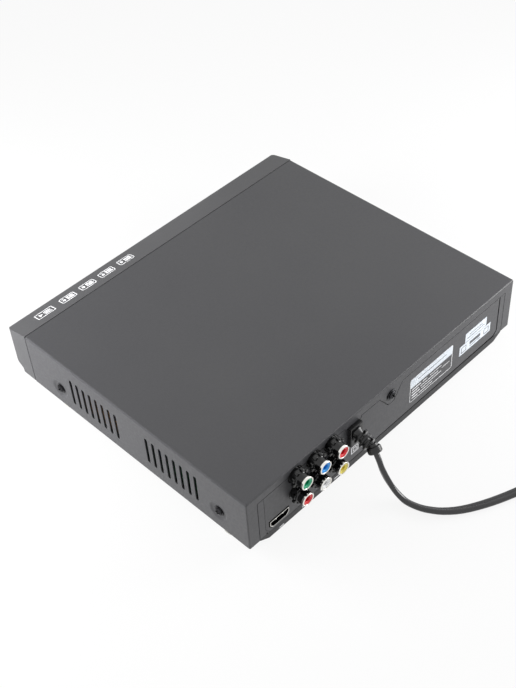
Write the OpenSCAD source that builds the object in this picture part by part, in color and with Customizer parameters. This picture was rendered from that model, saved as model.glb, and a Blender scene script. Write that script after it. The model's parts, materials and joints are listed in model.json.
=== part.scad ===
// Compact disc player with a motor-driven tray, a folded steel cover and a moulded front.
// X runs to the right seen from the front, Y to the back and Z up. Millimetres.

/* [Casing] */
// Width of the casing
case_w = 225; // [224:0.5:240]
// Depth of the steel cover from the front seam to the back
cover_d = 181.6; // [178:0.2:200]
// Height of the cover's side walls
cover_h = 37.1; // [36.8:0.1:44]
// Thickness of the steel sheet
sheet = 0.8; // [0.6:0.1:1]
// Outside radius of the cover's folded edges
bend_r = 1.4; // [1.2:0.1:3]
// How far the belly of the chassis drops below the cover
belly_drop = 4.2; // [3.8:0.1:6]
// Width of the slanted strip along each side of the belly
belly_slant = 8; // [6:0.5:10]
// Height of the feet below the belly
foot_h = 3; // [2:0.5:6]
// Diameter of a foot
foot_d = 16; // [12:0.5:18]

/* [Cover details] */
// Pitch of the side vents
vent_pitch = 5.53; // [4.5:0.01:5.8]
// Width of one vent
vent_w = 2.2; // [1.2:0.1:2.5]
// Height of one vent
vent_h = 20; // [14:0.5:22]
// Vents in one group
vent_count = 8; // [4:1:8]
// Width of the cover's folded strip at each end of the back
rear_strip = 7.5; // [6:0.5:9]
// Height of the cover's folded lip along the top of the back
rear_lip = 5.6; // [4.5:0.1:6]
// Depth of the round dimples under the side screws
dimple = 1; // [0.6:0.1:1.4]
// Diameter of the cover screws' heads
screw_head = 6.4; // [5:0.2:7]

/* [Front] */
// Depth of the moulded front ahead of the seam
front_d = 18.6; // [17.6:0.2:24]
// Wall thickness of the moulded front
front_wall = 2.2; // [1.8:0.1:2.4]
// How far the strip above the front falls from the seam to its edge
strip_fall = 3.9; // [2:0.1:4.2]
// Radius of the front's upright corners
corner_r = 4; // [2.5:0.5:4]
// Width of the gap between the front and the cover
seam = 0.5; // [0.3:0.1:1]
// Diameter of the round power button
power_d = 7.6; // [6:0.2:8]
// Width of one bar button
bar_w = 10; // [8:0.5:12]
// Height of one bar button
bar_h = 3.2; // [2.6:0.1:3.6]
// Travel of every button
press = 0.5; // [0.3:0.1:0.6]

/* [Loader] */
// Width of the loader frame
loader_w = 144; // [143:0.5:144.5]
// Height of the tray's underside above the chassis floor
tray_lift = 22.3; // [22:0.1:22.8]
// Length of the tray
tray_len = 162; // [160:0.5:163]
// Thickness of the tray
tray_t = 5.6; // [5:0.1:5.8]
// Radius of the disc recess
disc_r = 61; // [60.5:0.1:62]
// Depth of the disc recess
disc_depth = 4; // [3.4:0.1:4.2]
// Travel of the tray
tray_travel = 134; // [110:1:134]
// Width of the slot for the turntable and the pickup
pickup_slot = 40; // [36:0.5:44]
// Radius of the turntable
turntable_r = 15; // [13:0.5:15]
// Travel of the pickup along its rods
pickup_travel = 34; // [28:1:34]
// Largest tilt of the traverse deck in degrees
deck_tilt = 4.2; // [3:0.1:4.4]

/* [Sockets] */
// Pitch of the round jacks across the back
jack_pitch = 14; // [13.4:0.1:15]
// Height between the two rows of jacks
jack_row = 13.5; // [13:0.1:13.8]
// Outer radius of a jack's shell
jack_r = 4.15; // [3.9:0.05:4.3]
// Radius of the hole in a jack
jack_bore = 1.6; // [1.5:0.05:1.8]
// How far the jacks stand out of the back
jack_out = 9.2; // [8:0.1:10]

/* [Mains cord] */
// Width of the flat cord
cord_w = 5.2; // [4.8:0.1:6]
// Thickness of the flat cord
cord_t = 3.2; // [2.8:0.1:3.6]

/* [Hidden] */
$fn = 48;

eps = 0.01;
flat_gap = 0.05;       // between flat faces that lie on each other
slide_gap = 0.3;       // between sliding plastic parts
spin_gap = 0.05;       // radial clearance of a running shaft
part_gap = 0.35;       // visible gap between sheet parts

// Casing, with Y from the seam and Z from the cover's bottom edge
half_w = case_w / 2;
rear_y = cover_d;
inner_y = rear_y - sheet;
strip_y = inner_y - sheet;
front_y = -front_d;
key_out = 0.4;
base_z = belly_drop + foot_h;
mid_y = (rear_y + jack_out + front_y - key_out) / 2;
roof_z = cover_h - sheet;
floor_z = sheet - belly_drop;
rim_z = 0.3;
pan_x = half_w - sheet - dimple - flat_gap;
pan_in_x = pan_x - sheet;
slant_x = half_w - 6.5;
belly_x = slant_x - belly_slant;
strip_x = half_w - rear_strip;
lip_z = cover_h - rear_lip;
band_z = rim_z + 0.2;
frame_x = strip_x - part_gap;
frame_in_x = frame_x - 4.4;
wide_gap = 0.9;        // between the rear panel and its upright, on the left
narrow_gap = 0.15;     // and on the right

// Screws and vents on the sides: [y, z] of each
side_screws = [[26.5, 12], [rear_y - 22.6, 12.6]];
vent_starts = [39.4, rear_y - 77.6];
vent_z = 8;
tab_x = -0.6;
tab_screw_z = cover_h - 9.3;
tab_tip_z = cover_h - 16.1;
tab_half = 10.2;
screw_r = 1.4;
dimple_r = screw_head / 2 + 3.6;

// Front
tray_z = floor_z + tray_lift;
slot_z0 = tray_z - 3.7;
step_z = slot_z0 - 0.2;
slot_z1 = slot_z0 + 16.2;
chin_z = 9.4;
chin_y = front_y + 7.5;
face_y = front_y + 0.5;
face_in_y = front_y + 0.5 + front_wall;
board_y = face_in_y + 7.3;
board_t = 1.6;
key_z = (chin_z + step_z) / 2 + 0.5;
power_x = half_w - 9.3;
power_z = 24.5;
usb_x = half_w - 22;
usb_z = 22.2;
usb_w = 13.1;
usb_h = 5.7;
window_h = 11;
window_z = 24;
key_back = front_y + 4;

// Loader, with X from the tray's centre line
tray_x = -(pan_in_x - 1.2 - loader_w / 2);
frame_wall = 2.8;
wall_x = loader_w / 2 - frame_wall;
tray_half = wall_x - 2.2;
tongue_half = wall_x - slide_gap - 0.2;
tray_y0 = face_y + front_wall + 1.3;
disc_y = tray_y0 + 9 + disc_r;
tray_y1 = tray_y0 + tray_len;
loader_y0 = -9;
loader_y1 = tray_y1 + 14;
tray_top = tray_z + tray_t;
tongue_z = tray_z + 1.6;
tongue_t = 1.4;
recess_z = tray_top - disc_depth;
bridge_z = tray_top + 2.5;
bridge_t = 1.6;
slot_half = tongue_half + slide_gap;

// Gear train: pinion on the rack, wheel on the pulley gear's pinion
rack_m = 1;
rack_teeth = 20;
wheel_m = 0.8;
wheel_teeth = 40;
pulley_teeth = 12;
pulley_r = 8.4;
motor_pulley_r = 3;
rack_r = rack_m * rack_teeth / 2;
wheel_r = wheel_m * wheel_teeth / 2;
train_gap = wheel_r + wheel_m * pulley_teeth / 2;
rack_x = wall_x - 12.2;
drive_x = rack_x - rack_r;
drive_y = 4;
pulley_x = drive_x - train_gap;
motor_x = pulley_x - 34;
motor_y = 11.5;
plate_z = 8;
plate_t = 2;
deck_plate_z = tray_z - 5.3;
belt_z = plate_z + plate_t + 5.7;
pressure = 25;
gear_backlash = 0.16;

// Traverse deck
deck_t = 1.5;
deck_half = 50;
pin_end = 56;
deck_y0 = 33;
hinge_y = 138;
hinge_z = 12;
hinge_r = 2;
cam_pin_y = 25.5;
cam_pin_r = 1.5;
cam_x0 = -26;
cam_w = 34;
cam_travel = 20;
cam_wall_y = 21.5;
rail_x = 26;
rod_r = 1.4;
rod_z = deck_plate_z + deck_t + 1.6;
rod_y0 = disc_y + 4;
rod_y1 = rod_y0 + 72;
pickup_y0 = disc_y + 13.5;
pickup_len = 23;
lens_y = pickup_y0 + 11;
sled_m = 0.6;
sled_teeth = 14;
sled_wheel_teeth = 28;
sled_pinion_teeth = 12;
sled_rack_x = rail_x + 7.6;
sled_x = sled_rack_x + sled_m * sled_teeth / 2;
sled_y = pickup_y0 + pickup_travel;
sled_motor_y = sled_y + sled_m * (sled_wheel_teeth + sled_pinion_teeth) / 2;

// Boards and sockets
post_h = 5;
pcb_z = floor_z + post_h;
pcb_top = pcb_z + board_t;
pcb_x0 = tray_x + loader_w / 2 + 4.5;
pcb_x1 = pan_in_x - 1.2;
pcb_mid = (pcb_x0 + pcb_x1) / 2;
window_x0 = pcb_x0 + 2;
window_w = usb_x - usb_w / 2 - 6.1 - window_x0;
window_x = window_x0 + window_w / 2;
key_x = [for (i = [0:2]) pcb_x0 + 6 + 14 * i];
cable_x = pcb_x0 + 9.5;
cable_w = 13;
main_y0 = rear_y - 95.6;
main_y1 = strip_y - 0.4;
power_y0 = 6;
power_y1 = main_y0 - 6;
main_posts = [[pcb_x0 + 5, main_y0 + 6], [belly_x - 3, main_y0 + 6], [pcb_x0 + 5, rear_y - 22],
    [belly_x - 3, rear_y - 22]];
power_posts = [[pcb_x0 + 5, power_y0 + 6], [belly_x - 3, power_y0 + 6], [pcb_x0 + 5, power_y1 - 6],
    [belly_x - 3, power_y1 - 6]];
loader_post_y = [13, 124];
loader_posts = [for (s = [-1, 1], y = loader_post_y) [tray_x + s * 58, y]];
frame_foot_z = 3;
post_r = 3;
post_bore = 1.1;
jack_x = half_w - 35.8;
jack_z = pcb_top + 12.7;
jack_boss = 5.2;
shell_step = 0.2;
shell_y = 3.75;
hdmi_x = half_w - 22.4;
hdmi_z = pcb_top + 2.6;

// Cord: strain relief, route and coil. The route's points are in the casing's coordinates
relief_x = 31;
relief_z = 23;
boot_z = relief_z + 1.4;
boot_tilt = 17;
boot_len = 11.4;
collar_tilt = 48;
collar_turn = 12;
collar_len = 4.4;
boot_dir = [0, cos(boot_tilt), -sin(boot_tilt)];
collar_dir = [sin(collar_turn) * cos(collar_tilt), cos(collar_turn) * cos(collar_tilt), -sin(collar_tilt)];
collar_at = [relief_x, rear_y + 4, boot_z] + boot_len * boot_dir;
cord_start = collar_at + (collar_len / 2 + flat_gap) * collar_dir;
plug_turn = 187;
plug_dir = [cos(plug_turn), sin(plug_turn), 0];
coil_centre = [-62, 303.8];
coil_mid_r = 31.2;
coil_cols = 2;
coil_rows = 3;
coil_half = coil_cols * cord_w / 2 + 0.2;
coil_h = coil_rows * cord_t + 0.2;
route = [
    [32, 201.1, 15.5], [32.3, 202.9, 12.1], [32.2, 204.7, 8.6], [31.9, 206.6, 5.2], [31.5, 208.8, 1.9],
    [31.2, 211.4, -0.9], [31, 214.6, -3.1], [30.8, 218.2, -4.6], [30.4, 222.1, -5.3], [29.2, 226.8, -5.6],
    [27, 231.6, -5.6], [22.5, 238, -5.6], [14.7, 244.9, -5.6], [3.5, 251.4, -5.6], [-8, 256.6, -5.6],
    [-21, 261.4, -5.6], [-34, 265.4, -5.6], [-48, 268.8, -5.6], [-60, 270, -5.6]];
plug_at = [-98, 266, 0.4];
tail = [[-60, 269.8, 4.2], [-67.4, 269.2, 4.2], [-77.2, 268, 3.6], [-86.6, 266.9, 2], [-94, 266.5, 0.5],
    plug_at];

// Casts from the casing's coordinates to the part's own frame
module shell() translate([0, -mid_y, base_z]) children();
module along_y(a, b) translate([0, b, 0]) rotate([90, 0, 0]) linear_extrude(b - a) children();
module along_x(a, b) translate([a, 0, 0]) rotate([90, 0, 90]) linear_extrude(b - a) children();
module block(x0, x1, y0, y1, z0, z1) translate([x0, y0, z0]) cube([x1 - x0, y1 - y0, z1 - z0]);
module slab(x, w, y0, y1, z, h) block(x - w / 2, x + w / 2, y0, y1, z - h / 2, z + h / 2);
module rod(x, y, z0, z1, r) translate([x, y, z0]) cylinder(h = z1 - z0, r = r);
module rod_y(x, z, y0, y1, r) translate([x, y0, z]) rotate([-90, 0, 0]) cylinder(h = y1 - y0, r = r);
module rod_x(y, z, x0, x1, r) translate([x0, y, z]) rotate([0, 90, 0]) cylinder(h = x1 - x0, r = r);
module in_loader() shell() translate([tray_x, 0, 0]) children();
module both_sides() for (m = [0, 1]) mirror([m, 0, 0]) children();

// Cylinder with a flat-ended bore
module ring(x, y, z0, z1, r, bore) difference() {
    rod(x, y, z0, z1, r);
    rod(x, y, z0 - 1, z1 + 1, bore);
}

// Involute gear: tooth flanks as points on the involute, thinned by the backlash
function involute(a) = tan(a) * 180 / PI - a;
function polar(r, a) = [r * cos(a), r * sin(a)];
function tooth_half(r, teeth, m) = let (rb = m * teeth / 2 * cos(pressure))
    90 / teeth - gear_backlash / (m * teeth) * 90 / PI * 1 + involute(pressure)
    - involute(acos(min(1, rb / r)));
function gear_points(teeth, m, steps = 3) = let (
    rb = m * teeth / 2 * cos(pressure), low = m * (teeth / 2 - 1.15), top = m * (teeth / 2 + 0.85),
    start = max(rb, low + 0.05), radii = [for (i = [0:steps]) start + (top - start) * i / steps])
    [for (k = [0:teeth - 1]) let (a = k * 360 / teeth) each concat(
        [polar(low, a - tooth_half(start, teeth, m))],
        [for (r = radii) polar(r, a - tooth_half(r, teeth, m))],
        [for (i = [steps:-1:0]) polar(radii[i], a + tooth_half(radii[i], teeth, m))],
        [polar(low, a + tooth_half(start, teeth, m))])];
module gear(teeth, m, h, turn = 0) rotate(turn) linear_extrude(h) polygon(gear_points(teeth, m));

// Straight rack along Y with its teeth towards -X, a gap centred on y = gap_y
module rack(m, y0, y1, gap_y, back, h) {
    first = ceil((y0 - gap_y) / (PI * m) + 1);
    last = floor((y1 - gap_y) / (PI * m) - 1);
    slope = tan(pressure);
    half = PI * m / 4 - gear_backlash / 4;
    linear_extrude(h) polygon(concat(
        [[back, y0], [1.15 * m, y0]],
        [for (k = [first:last]) let (y = gap_y + (k + 0.5) * PI * m) each [
            [1.15 * m, y - half - 1.15 * m * slope], [-0.85 * m, y - half + 0.85 * m * slope],
            [-0.85 * m, y + half - 0.85 * m * slope], [1.15 * m, y + half + 1.15 * m * slope]]],
        [[1.15 * m, y1], [back, y1]]));
}

// Tube of elliptical section swept along a list of points, w wide and t thick
function unit(v) = v / norm(v);
function tangents(p) = let (n = len(p) - 1)
    [for (i = [0:n]) unit(p[min(i + 1, n)] - p[max(i - 1, 0)])];
module sweep(p, w, t, sides) {
    tan_list = tangents(p);
    n = len(p);
    points = [for (i = [0:n - 1], k = [0:sides - 1]) let (
        side = unit(cross(tan_list[i], [0, 0, 1])),
        up = cross(side, tan_list[i]),
        a = (k + 0.5) * 360 / sides)
        p[i] + side * w / 2 * cos(a) + up * t / 2 * sin(a)];
    walls = [for (i = [0:n - 2], k = [0:sides - 1]) let (k2 = (k + 1) % sides)
        [i * sides + k, (i + 1) * sides + k, (i + 1) * sides + k2, i * sides + k2]];
    polyhedron(points, concat(walls, [[for (k = [0:sides - 1]) k]],
        [[for (k = [sides - 1:-1:0]) (n - 1) * sides + k]]), convexity = 6);
}

// Closed outline from its right half
function mirrored(right) = concat(right, [for (i = [len(right) - 1:-1:0]) [-right[i][0], right[i][1]]]);

// Outline of the cover seen from the back, with its upper corners bent
module arch(w, h, r) {
    translate([-w / 2, -1]) square([w, h - r + 1]);
    translate([r - w / 2, h - r - eps]) square([w - 2 * r, r + eps]);
    for (s = [-1, 1]) translate([s * (w / 2 - r), h - r]) circle(r);
}
module tab_outline(grow) polygon([[tab_x - tab_half - grow, lip_z + 0.5],
    [tab_x - 2 - grow, tab_tip_z - grow], [tab_x + 2 + grow, tab_tip_z - grow],
    [tab_x + tab_half + grow, lip_z + 0.5]]);
module cord_tab(grow) translate([24.5 - grow, lip_z - 1.5 - grow]) square([13 + 2 * grow, 3]);
module jack_place(c, k) translate([jack_x - c * jack_pitch, 0, jack_z + k * jack_row]) children();
module jack_places() for (c = [0:2], k = [0:1]) jack_place(c, k) children();
module jack_circles(r) for (c = [0:2], k = [0:1])
    translate([jack_x - c * jack_pitch, jack_z + k * jack_row]) circle(r);
module hdmi_outline(grow) polygon([for (p = [[-7.1, 2.55], [-7.1, -0.6], [-5.3, -2.55], [5.3, -2.55],
    [7.1, -0.6], [7.1, 2.55]]) [p[0] + sign(p[0]) * grow, p[1] + sign(p[1]) * grow]]);
module belly_outline(in) {
    right = [[belly_x - in / 2, in - belly_drop], [slant_x - in / 2, rim_z + in], [pan_x - in, rim_z + in],
        [pan_x - in, 60]];
    polygon(mirrored(right));
}

// ---------- casing ----------
module top_cover() color([0.29, 0.29, 0.3]) shell() difference() {
    union() {
        difference() {
            along_y(seam / 2, rear_y) difference() {
                arch(case_w, cover_h, bend_r);
                translate([-case_w, -2]) square([2 * case_w, 2]);
            }
            along_y(seam / 2 - 1, inner_y) arch(case_w - 2 * sheet, roof_z, bend_r - sheet + eps);
            along_y(inner_y - 1, rear_y + 1) difference() {
                translate([-strip_x, -1]) square([2 * strip_x, lip_z + 1]);
                tab_outline(0);
                cord_tab(0);
            }
        }
        both_sides() for (p = side_screws) translate([half_w - sheet + eps, p[0], p[1]])
            rotate([0, -90, 0]) cylinder(h = dimple, r1 = dimple_r + 0.4, r2 = dimple_r - 1.8);
    }
    both_sides() for (p = side_screws) {
        translate([half_w + eps, p[0], p[1]]) rotate([0, -90, 0])
            cylinder(h = dimple, r1 = dimple_r, r2 = dimple_r - 2.2);
        rod_x(p[0], p[1], belly_x, half_w + 5, screw_r + 0.2);
    }
    for (y0 = vent_starts, i = [0:vent_count - 1]) along_x(-half_w - 1, half_w + 1)
        translate([y0 + i * vent_pitch, vent_z]) {
            translate([-vent_w / 2, vent_w / 2]) square([vent_w, vent_h - vent_w]);
            for (z = [vent_w / 2, vent_h - vent_w / 2]) translate([0, z]) circle(vent_w / 2, $fn = 24);
        }
    rod_y(tab_x, tab_screw_z, inner_y - 1, rear_y + 1, screw_r + 0.2);
    along_y(inner_y - 1, rear_y + 1) jack_circles(jack_boss + part_gap);
}

module chassis_pan() color([0.28, 0.28, 0.29]) shell() difference() {
    union() {
        difference() {
            along_y(1.2, inner_y) belly_outline(0);
            along_y(0, rear_y + 1) belly_outline(sheet);
            block(-200, 200, -1, 200, 7, 80);
        }
        // ears that the side screws bite into
        both_sides() for (p = side_screws) block(pan_in_x, pan_x, p[0] - 8, p[0] + 8, 6, p[1] + 6);
        // front wall
        along_y(0.5, 1.3) intersection() {
            belly_outline(0);
            translate([-200, -50]) square([400, 52.6]);
        }
        // rear band and uprights around the rear panel
        along_y(inner_y - eps, rear_y) intersection() {
            belly_outline(0);
            difference() {
                translate([-frame_x, -50]) square([2 * frame_x, lip_z - part_gap + 50]);
                polygon(mirrored([[frame_in_x - 3, band_z], [frame_in_x, 4], [frame_in_x, 100]]));
            }
        }
        for (p = concat(main_posts, power_posts)) rod(p[0], p[1], floor_z - eps, pcb_z, post_r);
        for (p = loader_posts) rod(p[0], p[1], floor_z - eps, 2, post_r);
    }
    for (p = concat(main_posts, power_posts, loader_posts)) rod(p[0], p[1], floor_z, 10, post_bore);
    both_sides() for (p = side_screws) rod_x(p[0], p[1], belly_x, half_w, screw_r);
    // cable notch in the upright beside the jacks
    rod_y(frame_in_x - 0.8, 1.1, inner_y - 1, rear_y + 1, 0.5);
}

module rear_panel() color([0.3, 0.3, 0.31]) shell() difference() {
    union() {
        along_y(inner_y - 2 * flat_gap, rear_y) difference() {
            polygon([[wide_gap - frame_in_x, lip_z - part_gap], [wide_gap - frame_in_x, 4.4],
                [wide_gap + 2.7 - frame_in_x, band_z + 1.5], [frame_in_x - 3.2, band_z + narrow_gap],
                [frame_in_x - narrow_gap, 4.1], [frame_in_x - narrow_gap, lip_z - part_gap]]);
            tab_outline(part_gap);
            cord_tab(part_gap);
        }
        block(-frame_in_x + 2, frame_in_x - 2, strip_y, inner_y - flat_gap, tab_tip_z - 3, roof_z - 1);
        // tabs that stand behind the chassis band
        for (x = [-70, 0, 60]) block(x - 5, x + 5, strip_y, inner_y - flat_gap, -2.4, 6);
    }
    along_y(strip_y - 1, rear_y + 1) jack_circles(jack_boss + 0.2);
    along_y(strip_y - 1, rear_y + 1) translate([hdmi_x, hdmi_z]) hdmi_outline(0.55);
    block(relief_x - 4.2, relief_x + 4.2, strip_y - 1, rear_y + 1, relief_z - 6.2, relief_z + 6.2);
    rod_y(tab_x, tab_screw_z, strip_y - 1, rear_y + 1, screw_r);
}

// Side outline of the moulded front, drawn wall inside its true surface
module front_outline(wall) polygon([[1, rim_z + wall], [chin_y + 1 + wall * 0.4, rim_z + wall],
    [chin_y + wall * 0.6, rim_z + 0.4 + wall], [chin_y + wall * 0.6, 3.3 + wall * 0.8],
    [front_y + wall, chin_z + wall * 0.4], [front_y + wall, step_z - 0.2 + wall * 0.1],
    [face_y + wall, step_z + wall * 0.1],
    [face_y + wall, cover_h - strip_fall - 1 - wall], [face_y + 0.8 + wall, cover_h - strip_fall - wall],
    [1, cover_h - wall + strip_fall / front_d]]);
module front_plan(wall) {
    w = half_w - wall;
    y = front_y + wall;
    translate([-w + corner_r, y]) square([2 * w - 2 * corner_r, 30]);
    translate([-w, y + corner_r]) square([2 * w, 30]);
    for (s = [-1, 1]) translate([s * (w - corner_r), y + corner_r]) circle(corner_r);
}
module front_body(wall) intersection() {
    along_x(-200, 200) front_outline(wall);
    translate([0, 0, -5]) linear_extrude(60) front_plan(wall);
}
module front_panel() color([0.12, 0.12, 0.13]) shell() difference() {
    union() {
        difference() {
            front_body(0);
            front_body(front_wall);
            block(-200, 200, -seam / 2, 20, -10, 60);
        }
        // stops that rest on the chassis
        for (x = [-60, 20, 85]) block(x - 6, x + 6, -3, 0.5 - flat_gap, rim_z + 0.1, rim_z + front_wall);
        // hooks that reach under the cover
        for (x = [-80, 0, 62]) block(x - 8, x + 8, -1.6 * front_wall, 5, roof_z - 1.9, roof_z - 0.3);
        // posts for the front board
        for (p = [[pcb_x0 + 3, 16.3], [usb_x - 10, 29]])
            rod_y(p[0], p[1], face_in_y - 0.4, board_y - flat_gap, 1.2);
    }
    block(tray_x - slot_half, tray_x + slot_half, front_y - 1, 4, slot_z0, slot_z1);
    slab(window_x, window_w + slide_gap, front_y - 1, face_in_y + 1, window_z, window_h + slide_gap);
    slab(usb_x, usb_w + 0.4, front_y - 1, face_in_y + 1, usb_z, usb_h + 0.4);
    rod_y(power_x, power_z, front_y - 1, face_in_y + 1, power_d / 2 + slide_gap);
    for (x = key_x) slab(x, bar_w + 2 * slide_gap, front_y - 1, face_in_y + 1, key_z, bar_h + 2 * slide_gap);
}

module display_window() color([0.05, 0.03, 0.04]) shell() {
    slab(window_x, window_w, face_y, face_in_y + 0.4, window_z, window_h);
    slab(window_x, window_w + 2, face_in_y + flat_gap, face_in_y + 0.8, window_z, window_h + 0.8);
}

module feet() color([0.75, 0.75, 0.74]) shell() for (s = [-1, 1], y = [24, rear_y - 20.6]) difference() {
    rod(s * (half_w - 10.5), y, -base_z, 0, foot_d / 2);
    along_y(0, rear_y + 1) offset_belly();
}
module offset_belly() polygon(mirrored([[belly_x + flat_gap, -belly_drop - flat_gap],
    [slant_x + 2 * flat_gap, rim_z - flat_gap], [pan_x + 3, rim_z - flat_gap], [pan_x + 3, 20]]));

// Pan-head screw with a cross recess, its head's seat at z = 0 and its shank downwards
module screw(head_r, shank_r, shank_len) difference() {
    union() {
        cylinder(h = 1, r = head_r);
        translate([0, 0, 1 - eps]) cylinder(h = 0.8, r1 = head_r, r2 = head_r * 0.6);
        translate([0, 0, -shank_len]) cylinder(h = shank_len + eps, r = shank_r);
    }
    for (a = [0, 90]) rotate(a) translate([-head_r * 0.55, -0.35, 0.8]) cube([head_r * 1.1, 0.7, 3]);
}
module cover_screws() color([0.1, 0.1, 0.11]) shell() {
    both_sides() for (p = side_screws) translate([half_w - dimple + flat_gap, p[0], p[1]])
        rotate([0, 90, 0]) screw(screw_head / 2, screw_r - 0.1, 2.6);
    translate([tab_x, rear_y + flat_gap, tab_screw_z]) rotate([-90, 0, 0])
        screw(screw_head / 2 + 0.3, screw_r - 0.1, 5);
}
module inner_screws() color([0.7, 0.7, 0.72]) shell() {
    for (p = concat(main_posts, power_posts))
        translate([p[0], p[1], pcb_top + flat_gap]) screw(2.6, 1, 5);
    for (p = loader_posts) translate([p[0], p[1], 4 + flat_gap]) screw(2.8, 1, 6);
}

// ---------- front board and buttons ----------
module front_board() color([0.13, 0.32, 0.17]) shell() difference() {
    block(pcb_x0, half_w - 4, board_y, board_y + board_t, 7, 31.4);
    slab(usb_x, usb_w + 0.8, board_y - 1, board_y + 3, usb_z, usb_h + 0.8);
}
module tact_switch(x, z) {
    block(x - 3, x + 3, board_y - 2.4, board_y, z - 2.2, z + 2.2);
    rod_y(x, z, key_back + press + 0.05, board_y - 2.4 + eps, 1.4);
}
module front_board_parts() color([0.15, 0.15, 0.16]) shell() {
    for (x = key_x) tact_switch(x, key_z);
    tact_switch(power_x, power_z);
    slab(window_x + window_w / 2 - 3, 4.4, board_y - 5.6, board_y, window_z - 0.2, 6.5);
    block(cable_x - 0.5, cable_x + cable_w + 0.5, board_y + board_t, board_y + board_t + 3, 9, 13);
    rod_y(power_x - 4, 14, board_y + board_t, board_y + board_t + 6, 2.5);
}
module led_display() color([0.85, 0.3, 0.12]) shell()
    slab(window_x - 2.5, window_w - 7, board_y - 6.2, board_y, window_z, window_h - 1.4);
module usb_socket() color([0.75, 0.75, 0.77]) shell() difference() {
    slab(usb_x, usb_w, face_y - 0.2, board_y + 5, usb_z, usb_h);
    slab(usb_x, usb_w - 0.7, face_y - 1, board_y + 4, usb_z, usb_h - 0.7);
}
module usb_tongue() color([0.92, 0.92, 0.9]) shell() {
    slab(usb_x, usb_w - 1.9, face_y + 0.6, board_y + 2, usb_z + 1.1, 1.8);
    slab(usb_x, usb_w - 0.8, board_y + 2 - eps, board_y + 4 - flat_gap, usb_z, usb_h - 0.8);
}
module bar_button(x) shell() {
    slab(x, bar_w, front_y - key_out, key_back, key_z, bar_h);
    slab(x, bar_w + 2, front_y + front_wall + flat_gap, key_back, key_z, bar_h + 1.2);
}
module power_button() color([0.2, 0.2, 0.21]) shell() {
    rod_y(power_x, power_z, face_y - 0.4, key_back, power_d / 2);
    rod_y(power_x, power_z, face_in_y + flat_gap, key_back, power_d / 2 + 0.9);
}
module open_button() color([0.2, 0.2, 0.21]) bar_button(key_x[2]);
module play_button() color([0.2, 0.2, 0.21]) bar_button(key_x[0]);
module stop_button() color([0.2, 0.2, 0.21]) bar_button(key_x[1]);

// ---------- loader ----------
module loader_frame() color([0.16, 0.16, 0.17]) in_loader() difference() {
    union() {
        both_sides() {
            block(wall_x, loader_w / 2, loader_y0, loader_y1, frame_foot_z, bridge_z);
            // rails above and below the tray's edge
            for (z = [[tray_z + 0.2, tongue_z - slide_gap], [tongue_z + tongue_t + slide_gap, tray_z + 4.6]])
                block(tray_half + slide_gap, wall_x + eps, loader_y0, loader_y1, z[0], z[1]);
            for (y = loader_post_y) block(53, wall_x + eps, y - 5, y + 5, 2, 4);
            // hinge lug of the deck
            block(deck_half + 1, wall_x + eps, hinge_y - 4, hinge_y + 4, 7.5, hinge_z + 3.2);
        }
        block(-wall_x - eps, wall_x + eps, loader_y1 - 6, loader_y1, 3.9, tray_z + 4);
        block(-wall_x - eps, wall_x + eps, loader_y0, cam_wall_y + 2, plate_z, plate_z + plate_t);
        block(-wall_x - eps, wall_x + eps, cam_wall_y, cam_wall_y + 2, frame_foot_z, 14);
        block(cam_x0 - 6, cam_x0 + cam_w + cam_travel + 6, cam_wall_y, cam_wall_y + 2, -1.2, 14);
        block(cam_x0 - 6, cam_x0 + cam_w + cam_travel + 6, cam_wall_y, cam_wall_y + 6, -1.2, 0.2);
        rod(drive_x, drive_y, plate_z + plate_t - eps, tray_z - 0.6, 2);
        rod(pulley_x, drive_y, plate_z + plate_t - eps, tray_z - 0.9, 1.5);
    }
    rod(motor_x, motor_y, plate_z - 1, plate_z + plate_t + 1, 3);
    both_sides() rod_x(hinge_y, hinge_z, deck_half - 5, pin_end + 8, hinge_r + spin_gap);
    for (p = loader_posts) {
        rod(p[0] - tray_x, p[1], 1, 5, 1.3);
        rod(p[0] - tray_x, p[1], 5, tray_z - 1, 3.4);
    }
}

module disc_tray() color([0.13, 0.13, 0.14]) in_loader() difference() {
    union() {
        block(-tray_half, tray_half, tray_y0, tray_y1, tray_z, tray_top);
        block(-tongue_half, tongue_half, tray_y0 + 4, tray_y1, tongue_z, tongue_z + tongue_t);
        translate([rack_x, 0, tray_z - 3.3])
            rack(rack_m, -6, tray_y1 - 1, drive_y, 3.2, 3.3 + eps);
    }
    rod(0, disc_y, recess_z, tray_top + 1, disc_r);
    rod(0, disc_y, recess_z - 0.8, tray_top + 1, 41);
    rod(0, disc_y, tray_z - 1, tray_top + 1, pickup_slot / 2);
    block(-pickup_slot / 2, pickup_slot / 2, disc_y, tray_y1 + 1, tray_z - 1, tray_top + 1);
    both_sides() {
        // finger scoop at the side of the recess
        rod(disc_r - 1.5, disc_y, recess_z, tray_top + 1, 5);
        // lightening pockets under the corners
        for (y = [tray_y0 + 2, tray_y1 - 16]) block(46, 55, y, y + 12, tray_z - 1, tray_top - 1.6);
    }
}

module tray_door() color([0.12, 0.12, 0.13]) in_loader() {
    block(-slot_half + 0.25, slot_half - 0.25, face_y, face_y + 2.4, slot_z0 + 0.25, slot_z1 - 0.25);
    for (x = [-50, 0, 50]) block(x - 9, x + 9, face_y + 2.4 - eps, tray_y0 - flat_gap, tray_z, tray_top);
}

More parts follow.
